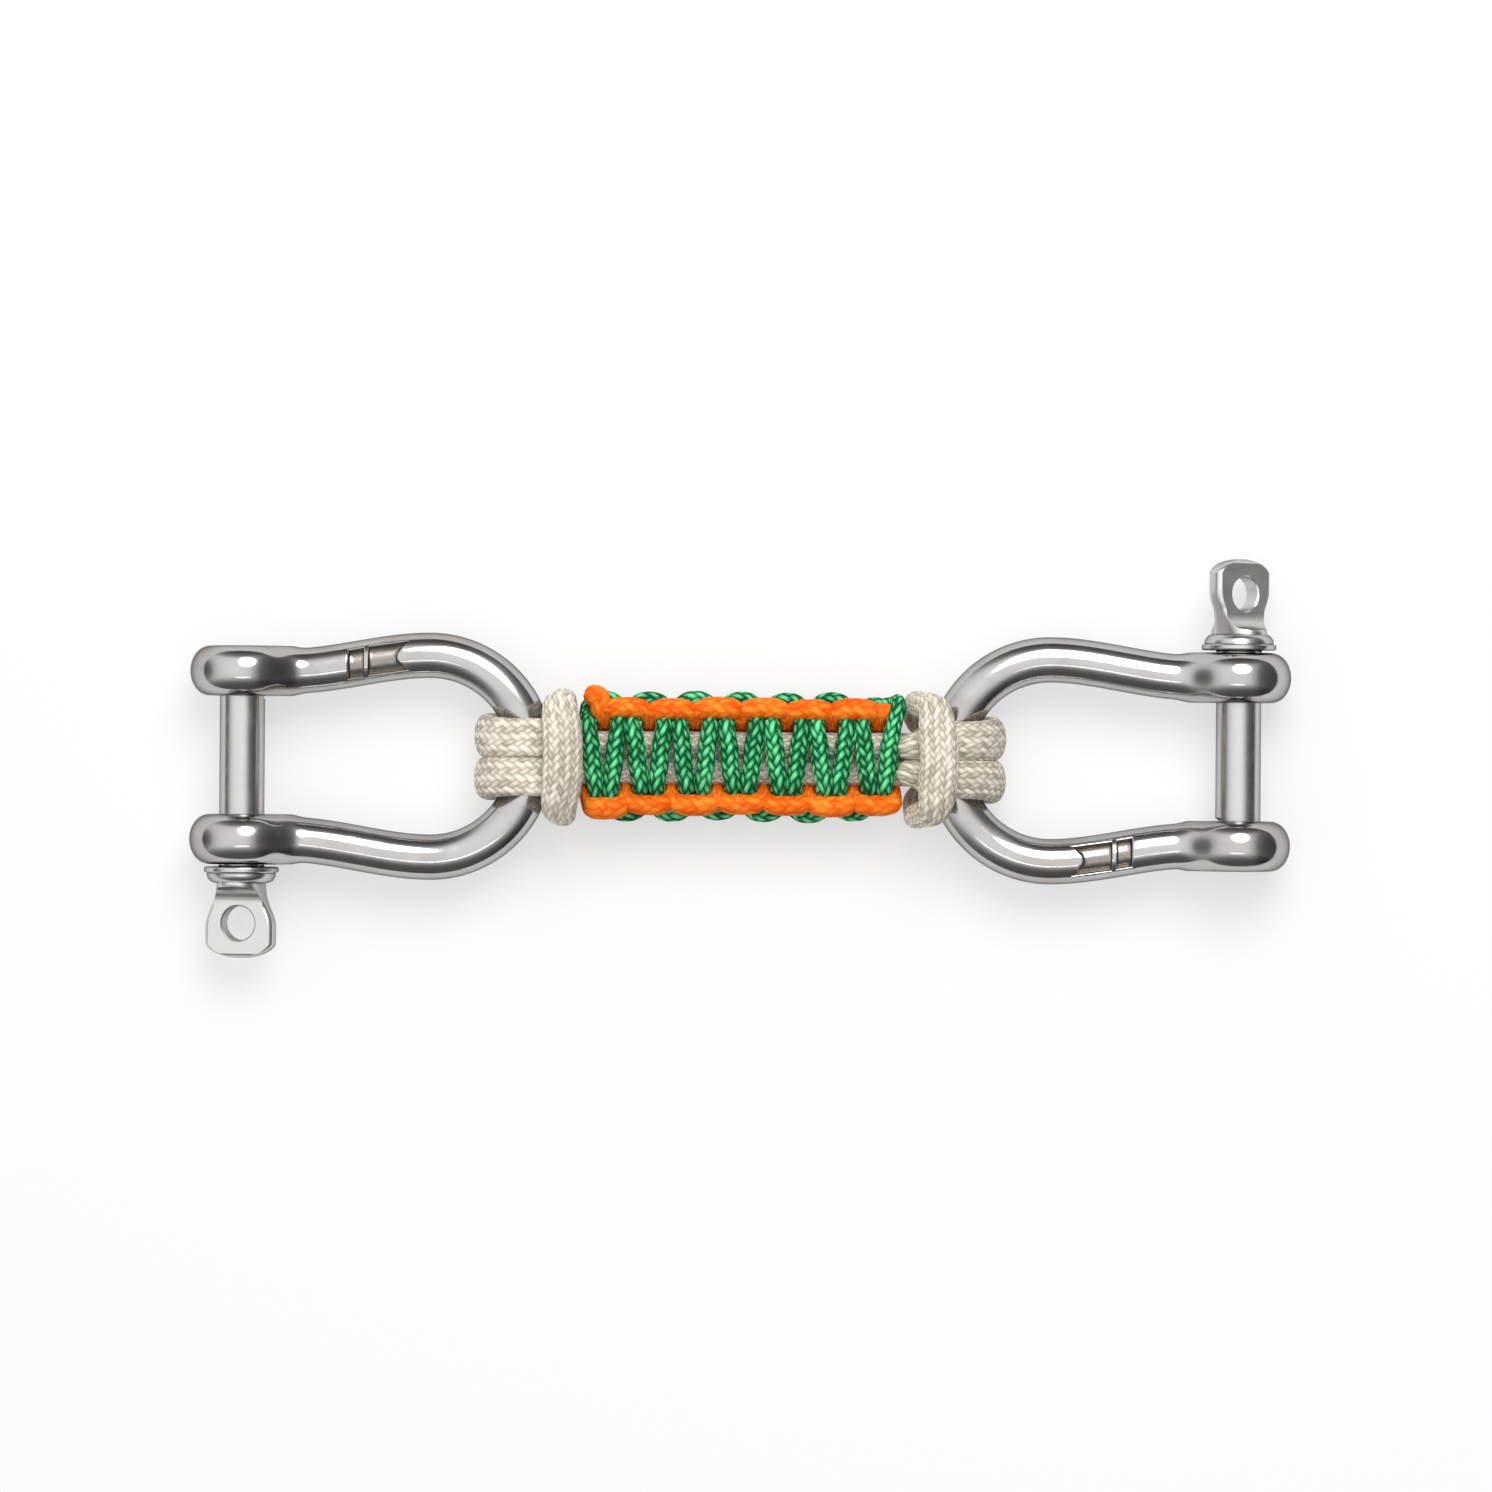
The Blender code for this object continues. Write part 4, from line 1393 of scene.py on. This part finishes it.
@dataclass
class Studio:
    """A white table under soft boxes, seen from straight above."""

    view_width: float = 164.1 * MM
    view_height: float = 0.62
    aim_x: float = 0.63 * MM
    aim_y: float = 1.38 * MM
    tilt: float = 0.42
    level: float = 5.75 * MM
    table: float = 1.6
    paper: float = 0.87
    white_share: float = 0.55
    brightest: float = 2.0
    sensor: float = 36.0
    nearest: float = 0.01

    def floor(self) -> None:
        """A pale table that looks white and keeps the shadow."""
        form = bmesh.new()
        bmesh.ops.create_grid(form, x_segments=1, y_segments=1, size=self.table / 2.0)
        floor = add_piece("floor", form)
        board = NodeBoard(bpy.data.materials.new("white_table"))
        path = board.add("ShaderNodeLightPath")
        seen = board.math("MAXIMUM", path.outputs["Is Camera Ray"], path.outputs["Is Glossy Ray"])
        seen = board.math("MAXIMUM", seen, path.outputs["Is Transmission Ray"])
        paper = board.add("ShaderNodeBsdfDiffuse", {"Color": (self.paper, self.paper, self.paper, 1.0)})
        white = board.add("ShaderNodeEmission", {"Color": (1.0, 1.0, 1.0, 1.0), "Strength": 1.0})
        share = board.math("MULTIPLY", seen, self.white_share)
        mixed = board.add("ShaderNodeMixShader", {0: share, 1: paper.outputs[0], 2: white.outputs[0]})
        floor.data.materials.append(board.finish(mixed))

    def shade(
        self, board: NodeBoard, direction: bpy.types.NodeSocket, stops: list[tuple[float, float]]
    ) -> bpy.types.NodeSocket:
        """The room's brightness along one axis.

        Args:
            board: The world's board.
            direction: One part of the direction that a ray goes, from -1 to 1.
            stops: Pairs of such a direction and the brightness there, in order.

        Returns:
            The brightness in the ray's direction.
        """
        share = board.add("ShaderNodeMapRange", {0: direction, 1: -1.0}).outputs[0]
        level = board.add("ShaderNodeFloatCurve", {"Value": share})
        level.mapping.clip_max_y = self.brightest
        points = level.mapping.curves[0].points
        spots = [((where + 1.0) / 2.0, value) for where, value in stops]
        points[0].location = spots[0]
        for spot in spots[1:-1]:
            points.new(*spot)
        points[-1].location = spots[-1]
        level.mapping.update()
        return level.outputs[0]

    def world(self) -> None:
        """A room that is bright overhead, dark toward every wall and darkest to the right."""
        world = bpy.data.worlds.new("grey_room")
        bpy.context.scene.world = world
        board = NodeBoard(world)
        direction = board.add("ShaderNodeTexCoord").outputs["Generated"]
        split = board.add("ShaderNodeSeparateXYZ", {0: direction})
        across = [
            (-1.0, 0.12), (-0.93, 0.34), (-0.82, 0.88), (-0.55, 1.2), (0.1, 1.25), (0.5, 0.7), (0.72, 0.22),
            (1.0, 0.09),
        ]
        deep = [
            (-1.0, 0.1), (-0.8, 0.14), (-0.6, 0.38), (-0.3, 0.95), (0.0, 1.0), (0.6, 0.95), (0.8, 0.46),
            (0.9, 0.17), (1.0, 0.08),
        ]
        room = board.math(
            "MULTIPLY",
            self.shade(board, split.outputs["X"], across),
            self.shade(board, split.outputs["Y"], deep),
        )
        seen = board.add("ShaderNodeLightPath").outputs["Is Camera Ray"]
        strength = board.between(seen, room, 1.0)
        light = board.add("ShaderNodeBackground", {"Color": (1.0, 1.0, 1.0, 1.0), "Strength": strength})
        board.finish(light, "ShaderNodeOutputWorld")

    def lamps(self) -> None:
        """A soft box over the far side and a narrow strip on the near side."""
        boxes = [
            SoftBox("key_box", (0.07, 0.28, 0.42), width=0.32, height=0.34, power=1.42),
            SoftBox("near_strip", (0.0, -0.22, 0.46), width=0.3, height=0.03, power=0.06),
        ]
        for box in boxes:
            box.build()

    def camera(self) -> None:
        """A long lens straight over the strap."""
        lens = bpy.data.cameras.new("overhead")
        lens.sensor_width = self.sensor
        lens.sensor_fit = "HORIZONTAL"
        lens.lens = self.sensor * self.view_height / self.view_width
        lens.clip_start = self.nearest
        stand = bpy.data.objects.new("overhead", lens)
        stand.location = (self.aim_x, self.aim_y, self.level + self.view_height)
        stand.rotation_euler = (0.0, 0.0, math.radians(self.tilt))
        bpy.context.scene.collection.objects.link(stand)
        bpy.context.scene.camera = stand

    def build(self) -> None:
        """Sets up the whole studio."""
        self.camera()
        self.floor()
        self.world()
        self.lamps()
        bpy.context.scene.view_settings.view_transform = "Standard"


def main() -> None:
    """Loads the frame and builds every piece."""
    logging.basicConfig(level=logging.INFO, format="%(message)s")
    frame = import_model()
    swings = {joint["name"]: joint for joint in frame["joints"]}
    hinges = {side: Vector(swings[f"{side.word}_swing"]["pos_m"]) for side in Side}

    Studio().build()
    layout = StrapLayout()
    pale = BraidedCord(
        "pale_braid",
        light=(0.95, 0.88, 0.76),
        dark=(0.36, 0.31, 0.24),
        carriers=18,
        repeats=270,
        crest=(-0.15, 0.95),
        roughness=0.4,
        gloss=0.5,
        depth=0.06 * MM,
        outline=0.5,
        mottle=0.45,
        lay_sheen=0.25,
    )
    green = BraidedCord(
        "green_braid",
        light=(0.17, 0.86, 0.37),
        dark=(0.002, 0.085, 0.025),
        carriers=8,
        repeats=250,
        gloss=0.12,
        melted=0.006,
        outline=0.7,
        lay_sheen=0.15,
    )
    orange = BraidedCord(
        "orange_braid",
        light=(1.0, 0.31, 0.03),
        dark=(0.80, 0.08, 0.0005),
        carriers=8,
        repeats=240,
        crest=(-0.1, 0.95),
        roughness=0.6,
        gloss=0.1,
        depth=0.05 * MM,
        melted=0.008,
        outline=0.4,
        mottle=0.45,
        lay_sheen=0.1,
    )
    core = CoreCord(layout, hinges, pale)
    core.dress(core.build())
    cords = [
        KnottingCord(
            "green_cord",
            layout,
            green,
            Face.FRONT,
            first_edge=-1,
            reach=6.18 * MM,
            bump_radius=1.0 * MM,
            bump_level=1.6 * MM,
            leg_line=4.2 * MM,
            draw_in=(0.1 * MM, 0.45 * MM, 1.0 * MM),
            wrapped_bump=13,
            low_pair=1,
        ),
        KnottingCord(
            "orange_cord",
            layout,
            orange,
            Face.BACK,
            first_edge=1,
            reach=5.3 * MM,
            bump_radius=1.18 * MM,
            bump_level=1.9 * MM,
            leg_line=3.85 * MM,
            draw_in=(0.02 * MM, 0.12 * MM, 0.4 * MM),
            first_stand=1.4 * MM,
            big_bump=1,
            tail_length=1.45,
            yarn_height=0.03 * MM,
        ),
    ]
    for cord in cords:
        cord.dress(cord.build())

    # rough: the dark brownish base of the recesses' cast steel; partly the unpolished cast skin, partly
    # painted shade in the recesses.
    rough, satin, bright = (0.30, 0.275, 0.25), (0.56, 0.557, 0.552), (0.66, 0.657, 0.65)
    polished = Steel("polished_steel").build()
    cast = Steel(
        "cast_steel", rough, rough, roughness=0.26, dull=0.36, grain=0.008 * MM, grain_scale=2600.0
    ).build()
    turned = Steel(
        "turned_steel", satin, satin, roughness=0.2, dull=0.28, wave=0.006 * MM, lathe_lines=0.0012 * MM
    ).build()
    forged = Steel(
        "forged_steel", bright, bright, roughness=0.3, dull=0.36, grain=0.004 * MM, grain_scale=3600.0
    ).build()
    eye_turn = PerSide(math.radians(-15.0), math.radians(-39.0))
    for side in Side:
        bow = ShackleBow(side, hinges[side])
        casting = bow.build(polished, cast)
        bow.dress(casting)
        pin = ScrewPin(side, bow, eye_turn.at(side))
        forging = pin.build(turned, forged)
        pin.dress(forging)
        for piece in (casting, forging):
            LOG.info("%s: %d faces", piece.name, len(piece.data.polygons))


if __name__ == "__main__":
    main()
